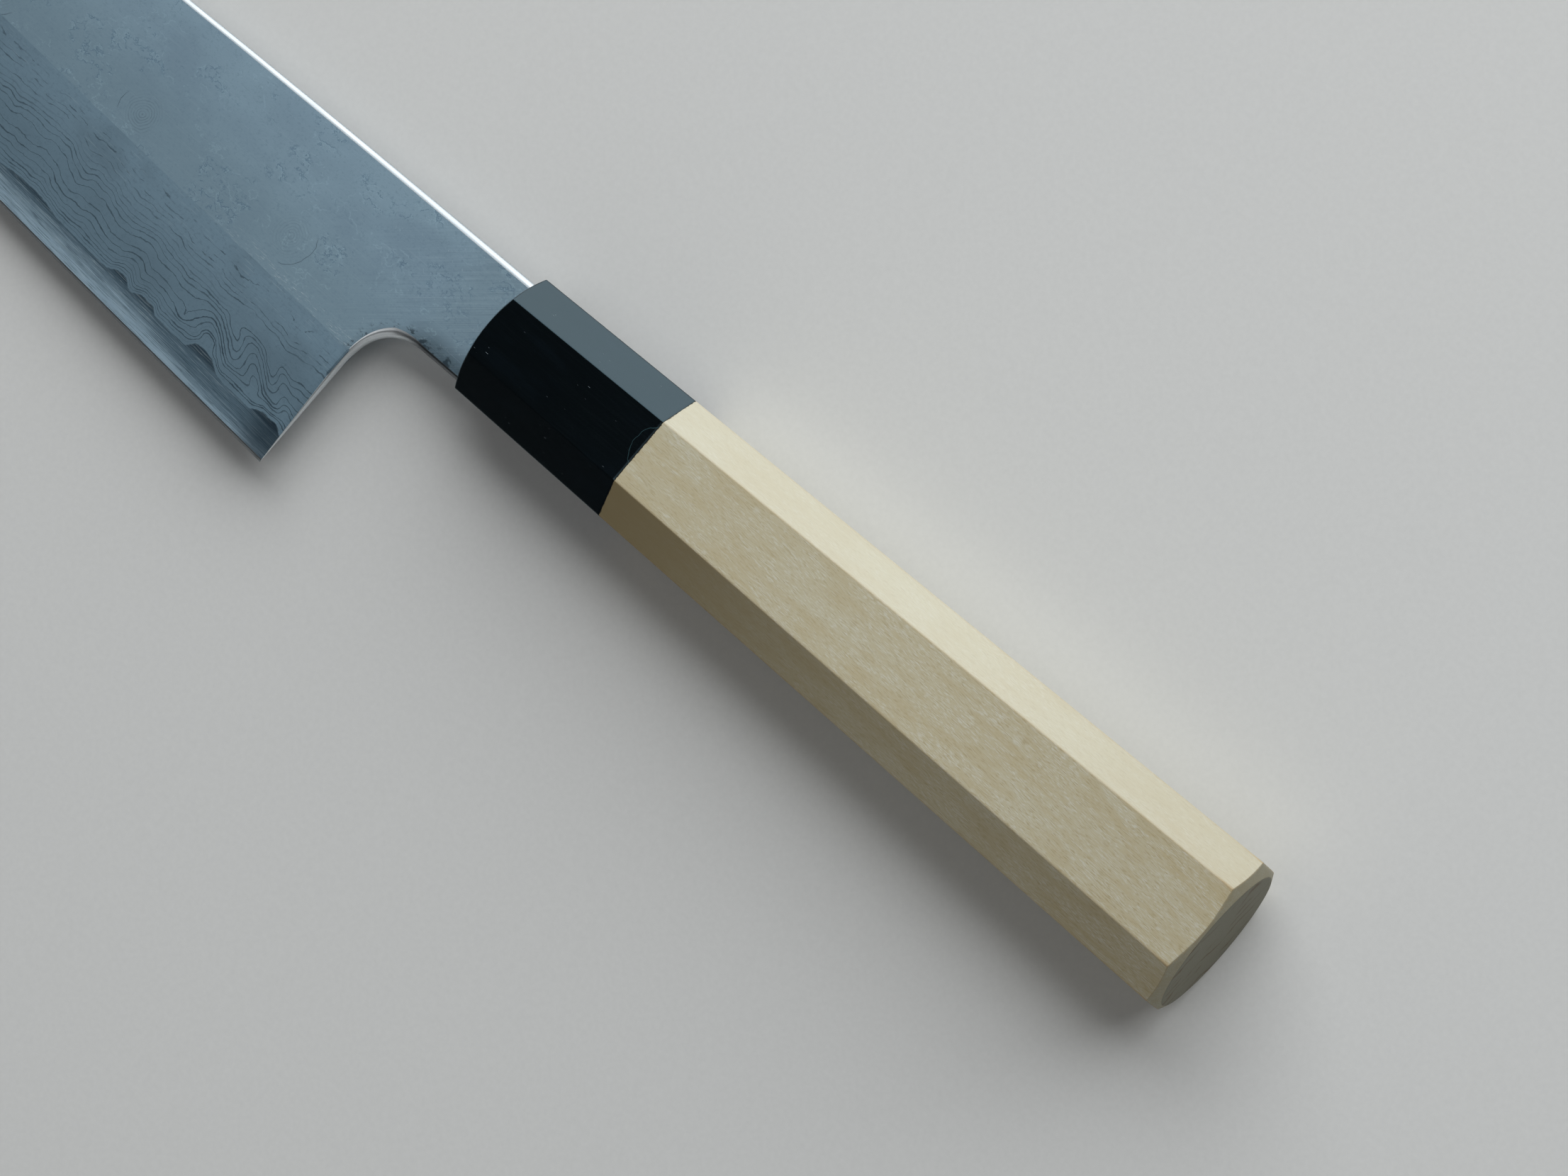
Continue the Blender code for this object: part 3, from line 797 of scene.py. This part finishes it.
def tone(red, green, blue):
    """A colour given as on screen, 0 to 255, turned into light."""
    light = [((c / 255 + 0.055) / 1.055) ** 2.4 if c > 10 else c / 255 / 12.92 for c in (red, green, blue)]
    return (*light, 1.0)


def blend(first, second, share):
    """Two colours mixed by a share. A colour is a wire, or three numbers as on screen."""
    first, second = (colour if isinstance(colour, Wire) else tone(*colour) for colour in (first, second))
    return share.node("Mix", {"data_type": "RGBA"}, {0: share, 6: first, 7: second}, 2)


def clouds(place, size, detail=2.0, roughness=0.5):
    """Clouds around 0.5, whose spots are about size millimetres along each axis."""
    scaled = place * tuple(1 / length for length in size)
    values = {"Vector": scaled, "Scale": 1.0, "Detail": detail, "Roughness": roughness}
    return place.node("TexNoise", {"noise_dimensions": "3D"}, values)


def shore(place, size, detail, roughness, reach=0.05):
    """Millimetres to the nearest line where some clouds pass their middle, below 0 on its low side."""
    here = clouds(place, size, detail, roughness)
    along = clouds(place + (reach, 0.0, 0.0), size, detail, roughness) - here
    across = clouds(place + (0.0, reach, 0.0), size, detail, roughness) - here
    slope = (along * along + across * across) ** 0.5 / reach
    return (here - 0.5) / (slope + 0.02)


def coats(colour, *layers):
    """A colour under further coats, each given as a colour and its share."""
    for coat, share in layers:
        colour = blend(colour, coat, share)
    return colour


def kept(place, word):
    """A value that every point of the mesh keeps under this word."""
    return place.node("Attribute", {"attribute_name": word}, {}, "Fac")


def span(apart):
    """The length of a vector."""
    return apart.node("VectorMath", {"operation": "LENGTH"}, {0: apart}, "Value")


def axes(place):
    """The three numbers of a place."""
    split = place.node("SeparateXYZ", {}, {0: place}).socket.node
    return [Wire(out) for out in split.outputs]


def new_finish(name):
    """A material, its shader and the place on the bench in millimetres."""
    material = bpy.data.materials.new(name)
    material.use_nodes = True
    shader = material.node_tree.nodes["Principled BSDF"]
    spot = Wire(shader.outputs["BSDF"]).node("TexCoord", {}, {}, "Object")
    place = spot.node("VectorMath", {"operation": "SCALE"}, {0: spot, "Scale": 1 / MM})
    return material, shader, place


def feed(shader, **wires):
    """Links wires, or sets plain values, on the shader's sockets."""
    for name, value in wires.items():
        socket = shader.inputs[name.replace("_", " ")]
        if isinstance(value, Wire):
            shader.id_data.links.new(value.socket, socket)
        else:
            socket.default_value = value


def relief(height, strength, depth):
    """A normal bent by fine relief, whose depth is in millimetres."""
    return height.node("Bump", {}, {"Strength": strength, "Distance": depth * MM, "Height": height})


print("finishes can be written as sums")

# %% [markdown]
# ## The etched bevel
# Folded steel shows its layers where the grinder has cut across them. The blade already carries the
# layers as a map, so a thin dark line goes wherever the map passes a whole number. Dividing by the
# map's slope gives the distance to the line in millimetres, and so the lines stay equally fine. The
# core below the last layer is brushed along the edge, and takes the etch darkest where it bulges up.

# %% Finish the bevel
SIDES_APART = 40.0
DEEP = 9.0


def two_sided(x, up, z):
    """A place on the blade's side, with the left and the right side far apart."""
    return x.node("CombineXYZ", {}, {0: x, 1: up, 2: (z > 0.0) * SIDES_APART})


def streaks(spot, length, height, detail=2.0, roughness=0.5):
    """Clouds on the blade's side, by their length and height in millimetres."""
    return clouds(spot, (length, height, DEEP), detail, roughness)


def ridge_scuffs(spot, x, rise):
    """Bright scuffs where the ridge between bevel and flat has rubbed, most of all by the heel."""
    by_ridge = 1 - ramp(abs(rise - BEVEL_WIDTH / MM - 0.2), 0.2, 1.5)
    scuffs = ramp(streaks(spot, 1.3, 0.15, 3.0, 0.6), 0.57, 0.70)
    return scuffs * by_ridge * ramp(x, -60.0, -22.0)


def bevel_finish(name):
    material, shader, place = new_finish(name)
    rise, layers, slope = (kept(place, word) for word in ("rise", "layers", "slope"))
    x, _, z = axes(place)
    spot = two_sided(x, rise, z)
    kinks = (streaks(spot, 1.0, 0.9, 2.0, 0.55) - 0.5) * 0.36
    here = layers + slope * kinks
    to_line = abs((here + 0.5).part("FRACT") - 0.5) / slope
    number = (here + 0.5).part("FLOOR")
    luck = number.node("TexWhiteNoise", {"noise_dimensions": "1D"}, {"W": number})

    ink = streaks(spot, 2.6, 1.4)
    dashed = ramp(streaks(spot + (0.0, 0.0, 17.0), 2.4, 0.7, 1.0), 0.46, 0.56)
    upper = ramp(rise, 13.5, 17.0)
    fresh = 1 - ramp(rise, 18.8, 20.4)
    by_heel = ramp(x, -50.0, -32.0)
    width = 0.030 + by_heel * 0.012 + ramp(ink, 0.44, 0.68) * 0.06
    line = 1 - ramp(to_line / width, 0.3, 1.8)
    in_core = 1 - ramp(here / slope, -0.10, 0.10)
    line = line * (0.42 + luck * 0.58) * (1 - upper * (1 - dashed * 0.8)) * fresh * (1 - in_core)
    line = line * (1 - by_heel * ramp(luck, 0.50, 0.38) * 0.9)

    brushed = streaks(spot, 3.6, 0.09, 3.0, 0.64)
    streak = streaks(spot, 22.0, 0.34)
    scratch = ramp(streaks(spot, 4.0, 0.09, 1.0, 0.4), 0.68, 0.78)
    cloud = streaks(spot, 12.0, 7.0)
    speck = streaks(spot, 0.5, 0.4, 3.0, 0.7)

    clad = coats(
        blend((126, 151, 166), (139, 165, 181), ramp(rise, 9.0, 21.0)),
        ((117, 140, 154), ramp(cloud, 0.4, 0.7) * 0.6),
        ((111, 135, 149), ramp(brushed, 0.55, 0.75) * 0.25),
        ((96, 118, 130), ramp(speck, 0.50, 0.74) * 0.35),
        ((50, 65, 76), line * (0.70 + by_heel * 0.10)),
        ((206, 222, 228), scratch * (0.08 + upper * 0.22)),
        ((226, 238, 242), ridge_scuffs(spot, x, rise) * 0.5),
    )
    shade = rise + (streak - 0.5) * 3.0 + by_heel * 1.5
    hard = coats(
        blend((176, 202, 218), (110, 134, 149), ramp(shade, 1.5, 4.5)),
        ((54, 72, 85), ramp(rise + (streak - 0.5) * 1.4, 4.1, 5.4) * 0.85),
        ((66, 85, 97), ramp(brushed, 0.50, 0.68) * 0.60),
        ((222, 240, 246), ramp(brushed, 0.47, 0.28) * (0.46 - by_heel * 0.14)),
        ((38, 52, 63), ramp(x, -26.0, -19.0) * 0.65),
    )
    colour = blend(clad, hard, in_core)

    # Along the heel's back the steel is painted darker: an even painted shade at the edge, with grinding
    # ticks over it.
    back = 1 - ramp(x * -1.0, NECK_LENGTH / MM, NECK_LENGTH / MM + 1.5)
    ticks = ramp(streaks(spot, 1.6, 0.12, 1.0), 0.46, 0.62)
    colour = blend(colour, (74, 92, 102), back * (0.10 + ticks * 0.30))

    grain = brushed * (0.12 + in_core * 0.6) - line * 0.7
    gloss = 0.60 + line * 0.12 - in_core * 0.08 + (brushed - 0.5) * 0.12
    normal = relief(grain, 0.22, 0.03)
    feed(shader, Base_Color=colour, Metallic=1.0, Roughness=gloss, Normal=normal)
    return material


bevel_steel = bevel_finish("etched_bevel")
print(f"etched bevel: {len(bevel_steel.node_tree.nodes)} nodes")

# %% [markdown]
# ## The satin flat
# The upper flat was rubbed on paper and then etched. It lies along the layers instead of across
# them, so a layer's end shows like a shore on a map, with bays and islands, dark on the low side and
# lit on the other. Clouds with many fine octaves have just such shores. Where the smith's punch dented
# the billet, the layers show as rings. Brush strokes run aslant over the neck. Next to the horn the neck
# is painted darker as painted shade, most of all by the choil, and along the choil's border the steel
# carries a little soot and a band of painted shade.

# %% Finish the flat
EYES = (
    (-36.3, -9.2, -22.0, 0.55, 0.22),
    (-68.0, -9.8, 185.0, 0.90, 0.40),
    (-100.0, -9.0, -60.0, 0.80, 0.35),
    (-132.0, -7.6, 120.0, 0.85, 0.42),
    (-163.0, -6.4, -30.0, 0.75, 0.30),
)
EYE_PITCH = 0.47
EYE_REACH = 4.4
BRUSH_TURN = math.radians(38.5)
CHOIL_ROUNDNESS = 2.34


def eye_rings(spot):
    """Faint rings and one darker arc round each eye, as shares of darkening, and where no eye is."""
    wobble = (streaks(spot, 2.2, 2.2, 3.0) - 0.5) * 0.8
    faded = ramp(streaks(spot, 1.6, 1.6, 1.0), 0.36, 0.60)
    total, clear = wobble * 0.0, wobble * 0.0 + 1.0
    for x, y, arc_turn, arc_edge, depth in EYES:
        apart = spot - (x, y, 0.0)
        gap = span(apart) + wobble
        wave = abs((gap / EYE_PITCH).part("FRACT") - 0.5) * 2.0
        rings = ramp(wave, 0.45, 0.95) * (1 - ramp(gap, 1.2, EYE_REACH)) * (0.3 + faded) * depth
        middle = (math.cos(math.radians(arc_turn)), math.sin(math.radians(arc_turn)), 0.0)
        facing = apart.node("VectorMath", {"operation": "DOT_PRODUCT"}, {0: apart, 1: middle}, "Value")
        on_arc = ramp(facing / EYE_REACH, arc_edge, arc_edge + 0.1)
        total = total + rings + (1 - ramp(abs(gap - EYE_REACH), 0.02, 0.08)) * on_arc
        clear = clear * ramp(gap, EYE_REACH - 1.0, EYE_REACH + 1.0)
    return total, clear


def choil_gap(x, y):
    """Millimetres from the outline of the choil, whose hollow is nearly a quarter oval."""
    run, climb = CHOIL_RUN / MM, CHOIL_RISE / MM
    left = x.pair("MINIMUM", x + (NECK_LENGTH - CHOIL_RUN) / MM, 0.0) / run
    up = y.pair("MAXIMUM", y + (NECK_DEPTH + CHOIL_RISE) / MM, 0.0) / climb
    oval = (abs(left) ** CHOIL_ROUNDNESS + up**CHOIL_ROUNDNESS) ** (1 / CHOIL_ROUNDNESS)
    return (oval - 1.0) * (run + climb) / 2


def flat_finish(name):
    material, shader, place = new_finish(name)
    x, y, z = axes(place)
    spot = two_sided(x, y, z)
    level = place.node("CombineXYZ", {}, {0: x, 1: y})
    rise = kept(place, "rise")
    cloud = streaks(spot, 16.0, 11.0, 4.0, 0.55)
    speck = streaks(spot, 0.45, 0.35, 3.0, 0.7)
    rings, clear = eye_rings(level)
    patch = ramp(streaks(spot, 10.0, 6.0, 2.0, 0.6), 0.49, 0.60) * clear
    bits = ramp(streaks(spot, 1.4, 0.9, 2.0, 0.6), 0.42, 0.56)
    coast = shore(spot, (2.2, 1.7, DEEP), 4.0, 0.64)
    worms = (1 - ramp(abs(coast), 0.03, 0.09)) * patch * bits
    lit = ramp(coast, 0.06, 0.12) * (1 - ramp(coast, 0.13, 0.24)) * patch * bits
    vein_patch = ramp(streaks(spot + (0.0, 50.0, 0.0), 12.0, 7.0, 1.0), 0.50, 0.58)
    far_coast = shore(spot + (31.0, 7.0, 0.0), (9.0, 7.0, DEEP), 5.0, 0.55)
    veins = (1 - ramp(abs(far_coast), 0.03, 0.10)) * vein_patch * bits

    turned = place.node("VectorRotate", {"rotation_type": "Z_AXIS"}, {"Vector": spot, "Angle": -BRUSH_TURN})
    strokes = streaks(turned, 9.0, 0.13, 3.0, 0.6)
    satin = streaks(spot, 7.0, 0.10, 2.0, 0.6)
    flecks = ramp(streaks(turned + (0.0, 30.0, 0.0), 0.16, 0.7, 1.0, 0.5), 0.72, 0.82)
    neck = ramp(x, -32.0, -9.0)
    sparks = ridge_scuffs(spot, x, rise)
    to_choil = choil_gap(x, y)
    by_choil = ramp(x, -20.0, -17.0)
    horn_shade = ramp(x, -14.0, -7.0)
    # soot blotches by the choil, and then an even band of painted shade along its border
    soot_and_shade = ramp(streaks(spot, 1.3, 0.9, 4.0, 0.65), 0.53, 0.63) * (1 - ramp(to_choil, 1.3, 2.6))
    soot_and_shade = (soot_and_shade + (1 - ramp(to_choil, 0.9, 1.9)) * 0.25) * by_choil

    colour = coats(
        blend((154, 179, 194), (144, 168, 184), ramp(cloud, 0.36, 0.66)),
        ((136, 160, 173), ramp(rise, 38.0, 24.0) * 0.65),
        ((166, 192, 208), ramp(rise, 38.0, 45.0) * ramp(x, -25.0, -45.0) * 0.45),
        # painted shade next to the horn, darkest by the choil
        ((134, 156, 168), horn_shade * 0.5),
        ((78, 96, 106), horn_shade * ramp(to_choil, 4.5, 1.0) * 0.75),
        ((122, 147, 164), ramp(speck, 0.50, 0.74) * 0.45),
        ((84, 116, 140), worms * 0.45),
        ((182, 210, 222), lit * 0.35 + veins * 0.25),
        ((84, 104, 116), rings * 0.75),
        ((196, 214, 222), ramp(strokes, 0.54, 0.72) * (0.05 + neck * 0.12)),
        ((118, 140, 153), ramp(strokes, 0.50, 0.30) * (0.05 + neck * 0.32)),
        ((190, 210, 220), ramp(satin, 0.56, 0.74) * 0.12),
        ((214, 230, 236), flecks * (0.12 + neck * 0.20)),
        ((228, 240, 244), sparks * 0.55),
        # soot and painted shade by the choil
        ((46, 58, 66), soot_and_shade * 0.65),
    )

    grain = strokes * (0.10 + neck * 0.4) + satin * 0.2 + lit * 0.2 - worms * 0.4 - rings * 0.25
    gloss = 0.58 + worms * 0.10 + (strokes - 0.5) * 0.12 - sparks * 0.15
    feed(shader, Base_Color=colour, Metallic=1.0, Roughness=gloss, Normal=relief(grain, 0.18, 0.03))
    return material


flat_steel = flat_finish("satin_flat")
print(f"satin flat: {len(flat_steel.node_tree.nodes)} nodes")

# %% [markdown]
# ## Polish, honing and forge skin
# The spine is brushed lengthwise, which spreads its highlight over the whole rounding. The choil and
# the heel's back, where a finger rests, are polished further. Below the handle's axis the steel is also
# painted paler as a painted highlight, and under the neck it is painted dark as painted shade.
# The hair of a bevel at the edge is honed on a fine stone. The weld faces and the tang are never seen
# once the knife is together, and keep the dull grey of the forge.

# %% Finish the other steel zones
def lengthwise_steel(name, pale, dark, streak, above, below):
    """Steel with fine lines along the blade, and its roughness above and below the handle's axis."""
    material, shader, place = new_finish(name)
    lines = clouds(place, (12.0, streak, streak), 3.0, 0.6)
    cloud = clouds(place, (6.0, 3.0, 3.0), 2.0)
    x, y, _ = axes(place)
    low = ramp(y, -1.0, -6.0)
    colour = coats(
        blend(pale, dark, ramp(lines, 0.42, 0.72) * 0.6 + cloud * 0.2),
        # painted paler below the axis: partly polish, partly a painted highlight
        ((236, 240, 242), low * 0.5),
        # painted shade under the neck
        ((58, 62, 65), ramp(x, -13.0, -8.0) * low * 0.85),
    )
    gloss = above + low * (below - above) + (lines - 0.5) * 0.15
    feed(shader, Base_Color=colour, Metallic=1.0, Roughness=gloss, Normal=relief(lines, 0.12, 0.02))
    return material


rim_steel = lengthwise_steel("polished_rim", (204, 211, 215), (176, 184, 189), 0.12, 0.46, 0.36)
grind_steel = lengthwise_steel("honed_edge", (84, 98, 106), (52, 64, 72), 0.08, 0.35, 0.35)
forge_steel = lengthwise_steel("forge_skin", (92, 96, 99), (58, 60, 62), 0.5, 0.62, 0.62)
for layer in blade_layers:
    for finish in (flat_steel, bevel_steel, grind_steel, rim_steel, forge_steel):
        layer.data.materials.append(finish)
print("steel finished")

# %% [markdown]
# ## Buffalo horn
# Polished horn is nearly black, with a deep cool gloss. Inside it, fibres run along the horn and
# give a faint blue smoke. Handling leaves a few nicks that catch the light, and drying has drawn a
# hairline near the joint.

# %% Finish the horn
HAIRLINE = (33.5, 1.2, 4.2)


def horn_finish(name):
    material, shader, place = new_finish(name)
    x, y, z = axes(place)
    smoke = clouds(place, (12.0, 3.0, 3.0), 4.0, 0.6)
    fibre = clouds(place, (9.0, 0.16, 0.16), 3.0, 0.6)
    worn = ramp(clouds(place, (5.0, 3.0, 3.0), 1.0), 0.54, 0.64)
    nicks = ramp(clouds(place, (0.8, 0.14, 0.14), 0.0), 0.835, 0.875) * worn
    apart = place.node("CombineXYZ", {}, {0: x - HAIRLINE[0], 1: y - HAIRLINE[1]})
    bent = span(apart) + (clouds(place, (2.0, 2.0, 2.0), 2.0) - 0.5) * 0.8
    hairline = (1 - ramp(abs(bent - HAIRLINE[2]), 0.02, 0.07)) * (z > 9.0)

    colour = coats(
        blend((2, 3, 4), (5, 9, 14), ramp(smoke, 0.48, 0.70) * 0.8),
        ((12, 14, 16), ramp(fibre, 0.60, 0.76) * 0.3),
        ((46, 70, 74), hairline * 0.8),
        ((140, 150, 154), nicks * 0.6),
    )
    gloss = 0.15 + ramp(fibre, 0.45, 0.75) * 0.04 + nicks * 0.4
    feed(shader, Base_Color=colour, Roughness=gloss, Normal=relief(fibre - nicks, 0.06, 0.02))
    feed(shader, IOR=1.59, Specular_Tint=(0.55, 0.85, 1.0, 1.0))
    return material


horn.data.materials.append(horn_finish("buffalo_horn"))
print("horn finished")

# %% [markdown]
# ## Magnolia wood
# The wood is pale and very even. Its pores are too fine to count, but they make short light dashes
# along the grain, which lie thickest where a growth layer comes to the surface. The facets that face
# the window are painted paler as painted light, with fewer dashes; the facets that face away are
# painted darker as painted shade, most near the horn, and the rest is painted a little darker towards
# the butt, where the light falls off. Corners that fingers and paper touch are burnished browner. The
# end grain drinks the finish and turns darker, and there the growth layers show as lines. One solid
# pattern serves the sides and the end alike.

# %% Finish the wood
GRAIN_LEAN = 0.05


def wood_finish(name, pale, tan, dash, silver_and_lit, painted_shade, end):
    material, shader, place = new_finish(name)
    x, y, z = axes(place)
    leant = place.node("CombineXYZ", {}, {0: x, 1: y + x * GRAIN_LEAN, 2: z})
    bend = clouds(leant, (46.0, 12.0, 12.0), 3.0)
    years = (z + y * 0.29) / 2.6 + bend * 3.2
    cloud = clouds(leant, (34.0, 7.0, 7.0), 2.0)
    patch = clouds(leant, (8.0, 1.5, 1.5), 3.0, 0.55)
    silver = clouds(leant, (1.0, 0.12, 0.12), 1.0, 0.5)
    pores = clouds(leant + (0.0, 0.0, 70.0), (1.2, 0.13, 0.13), 1.0, 0.5)
    fibre = clouds(leant, (6.0, 0.10, 0.10), 2.0, 0.6)
    wear = kept(place, "wear")
    facing, spinewards, _ = axes(place.node("TexCoord", {}, {}, "Normal"))
    end_grain = ramp(facing, 0.93, 0.985)
    chamfer = ramp(facing, 0.20, 0.50) * (1 - end_grain)
    # painted light and shade: facets that face the window are painted paler, facets that face away darker
    lit_side = ramp(spinewards, 0.2, 0.6)
    shaded_side = ramp(spinewards, -0.2, -0.6)

    # fewer dashes on the lit facet, part of the painted light
    bold = (0.72 + ramp(x, 60.0, 128.0) * 0.28) * (1 - lit_side * 0.3)
    colour = coats(
        blend(pale, tan, ramp(cloud, 0.60, 0.36) * 0.3 + ramp(patch, 0.54, 0.36) * 0.4 * bold),
        (dash, ramp(fibre, 0.55, 0.75) * 0.18),
        (dash, ramp(pores, 0.54, 0.68) * bold * 0.55),
        (silver_and_lit, ramp(silver, 0.52, 0.64) * (0.35 + ramp(patch, 0.40, 0.58)) * bold * 0.6),
        # painted light on the facets that face the window
        (silver_and_lit, lit_side * 0.40),
        # painted shade on the facets that face away from the window, less towards the butt
        (painted_shade, shaded_side * (1 - chamfer) * (1 - ramp(x, 20.0, 95.0) * 0.7)),
        # painted shade on the other facets towards the butt, where the light falls off
        (painted_shade, ramp(x, 75.0, 140.0) * (1 - shaded_side) * 0.24),
    )
    butt = ramp(x, BUTT / MM - 6.0, BUTT / MM - 1.0)
    burnish = ramp(wear, 0.2, 1.0) * (0.16 + butt * 0.34)
    colour = coats(
        colour,
        (end, chamfer * 0.60),
        ((168, 138, 92), burnish * (0.5 + patch)),
    )
    wander = (clouds(place, (9.0, 2.4, 2.4), 2.0) - 0.5) * 0.8
    year = abs((years + wander).part("FRACT") - 0.5) * 2.0
    lines = ramp(year, 0.60, 1.0) * ramp(cloud, 0.42, 0.58) + ramp(fibre, 0.50, 0.66) * 0.25
    colour = blend(colour, blend(end, (96, 76, 50), lines * 0.8), end_grain)
    ragged = JOINT / MM + 0.10 + (clouds(place, (0.5, 0.5, 0.5), 2.0) - 0.5) * 0.5
    colour = blend(colour, (58, 48, 36), ramp(ragged - x, -0.04, 0.06) * 0.8)

    height = silver * 0.3 - pores * 0.4 + fibre * 0.4
    gloss = 0.60 + (fibre - 0.5) * 0.2 - wear * 0.12
    feed(shader, Base_Color=colour, Roughness=gloss, Normal=relief(height, 0.25, 0.05))
    feed(shader, Specular_IOR_Level=0.25)
    return material


magnolia = wood_finish(
    "magnolia", pale=(200, 193, 166), tan=(190, 175, 138), dash=(166, 149, 111),
    silver_and_lit=(214, 212, 198), painted_shade=(147, 131, 95), end=(119, 117, 101),
)
wood.data.materials.append(magnolia)
print(f"magnolia: {len(magnolia.node_tree.nodes)} nodes")

# %% [markdown]
# ## The hidden pieces
# The dowel that joins horn to wood and the resin collar at the tang's mouth are inside the handle.
# Their solids already have the right shape, so they stay, and only get a finish.

# %% Finish the dowel and the collar
dowel_wood = wood_finish(
    "dowel_wood", pale=(196, 164, 118), tan=(178, 142, 96), dash=(140, 104, 64),
    silver_and_lit=(214, 186, 144), painted_shade=(160, 124, 80), end=(150, 116, 76),
)


def resin_finish(name):
    material, shader, place = new_finish(name)
    grain = clouds(place, (0.6, 0.6, 0.6), 4.0, 0.6)
    colour = blend((34, 29, 26), (58, 50, 44), ramp(grain, 0.4, 0.7))
    feed(shader, Base_Color=colour, Roughness=0.38 + grain * 0.2, Normal=relief(grain, 0.3, 0.05))
    return material


for node, finish in (("ferrule_dowel", dowel_wood), ("tang_seal", resin_finish("seal_resin"))):
    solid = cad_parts[node]
    solid.data.materials.clear()
    solid.data.materials.append(finish)
    print(f"{node}: {finish.name}")

# %% [markdown]
# ## The stage
# The knife lies on its right side. The butt's lowest corner and the tip touch the ground, so the
# ground is a pale sheet through both, a little aslant to the handle's axis.

# %% Lay the floor
FLOOR_HALF = 2.5
TOUCH_X = wood_high.x - CHAMFER_END
tip_under = core_low.z - 0.2 * MM
slope = (tip_under - cad_low.z) / (TOUCH_X - core_low.x)


def floor_point(x, y):
    return (x, y, cad_low.z - 0.05 * MM + slope * (TOUCH_X - x))


square = ((-1, -1), (1, -1), (1, 1), (-1, 1))
floor_mesh = bpy.data.meshes.new("floor")
floor_mesh.from_pydata([floor_point(FLOOR_HALF * x, FLOOR_HALF * y) for x, y in square], [], [range(4)])
floor = put("floor", floor_mesh)

floor_paint, floor_shader, floor_place = new_finish("pale_floor")
paper = clouds(floor_place, (0.8, 0.8, 0.8), 3.0)
feed(floor_shader, Base_Color=blend((214, 214, 212), (222, 222, 220), paper), Roughness=0.9)
floor_mesh.materials.append(floor_paint)
print(f"floor falls {math.degrees(slope):.2f} degrees towards the butt")

# %% [markdown]
# ## Light
# One wide soft window stands beyond the spine and reaches down to the ground. It lights the facet
# that faces it, leaves the upper facet in half light, and draws a bright line along the polished
# spine. A small lamp overhead and a weak card by the butt put a glint on the choil. The room around
# is dim, so that black horn stays black, and only its horizon is pale.

# %% Set the window and the room
def soft_lamp(name, spot, aim, size, watts, colour):
    """A flat lamp at a spot round the ferrule, turned to face another."""
    light = bpy.data.lights.new(name, "AREA")
    light.shape = "RECTANGLE"
    light.size, light.size_y = size
    light.energy = watts
    light.color = colour
    lamp = put(name, light)
    lamp.location = BENCH + Vector(spot)
    lamp.rotation_mode = "QUATERNION"
    lamp.rotation_quaternion = (Vector(spot) - Vector(aim)).to_track_quat("Z", "Y")


soft_lamp("window", (-0.15, 1.0, 0.80), (0.0, 0.0, 0.20), (2.4, 1.78), 31.0, (0.96, 0.985, 1.0))
soft_lamp("overhead", (0.0, -0.30, 1.25), (0.0, 0.0, 0.0), (0.6, 0.6), 1.2, (1.0, 1.0, 1.0))
soft_lamp("card", (0.54, -0.64, 0.34), (0.0, 0.0, 0.0), (1.1, 0.55), 0.85, (1.0, 1.0, 1.0))

room = bpy.data.worlds.new("room")
room.use_nodes = True
bpy.context.scene.world = room
background = room.node_tree.nodes["Background"]
way = Wire(background.outputs[0]).node("TexCoord", {}, {}, "Generated")
_, north, up = axes(way)
horizon = ramp(up, 0.12, 0.0) * ramp(north, -0.5, 0.5)
feed(background, Color=blend((58, 59, 60), (200, 208, 214), horizon))
print("a window, a small lamp overhead, a card and a dim room")

# %% [markdown]
# ## Camera
# The picture was taken from above the butt's side with a long lens, so that the handle comes towards
# us and the blade runs off to the upper left. The three directions of the camera and its place were
# worked out once from the handle's corner lines.

# %% Place the camera
PICTURE_WIDTH = 2212
FOCAL_PIXELS = 7000.0
RIGHT = Vector((0.72934, 0.64699, -0.22320))
DOWN = Vector((0.62011, -0.76271, -0.18463))
EYE = Vector((266.45, 1.19, 688.54)) * MM

ahead = RIGHT.cross(DOWN)
lens = bpy.data.cameras.new("camera")
lens.sensor_width = 36.0
lens.lens = FOCAL_PIXELS / PICTURE_WIDTH * lens.sensor_width
lens.clip_start = 0.01
lens.clip_end = 20.0
camera = put("camera", lens)
turn = Matrix((RIGHT, -DOWN, -ahead)).transposed()
camera.matrix_world = Matrix.Translation(BENCH + EYE) @ turn.to_4x4()
bpy.context.scene.camera = camera
bpy.context.scene.view_settings.view_transform = "Standard"
print(f"lens of {lens.lens:.0f} mm, {EYE.length:.2f} m from the ferrule")
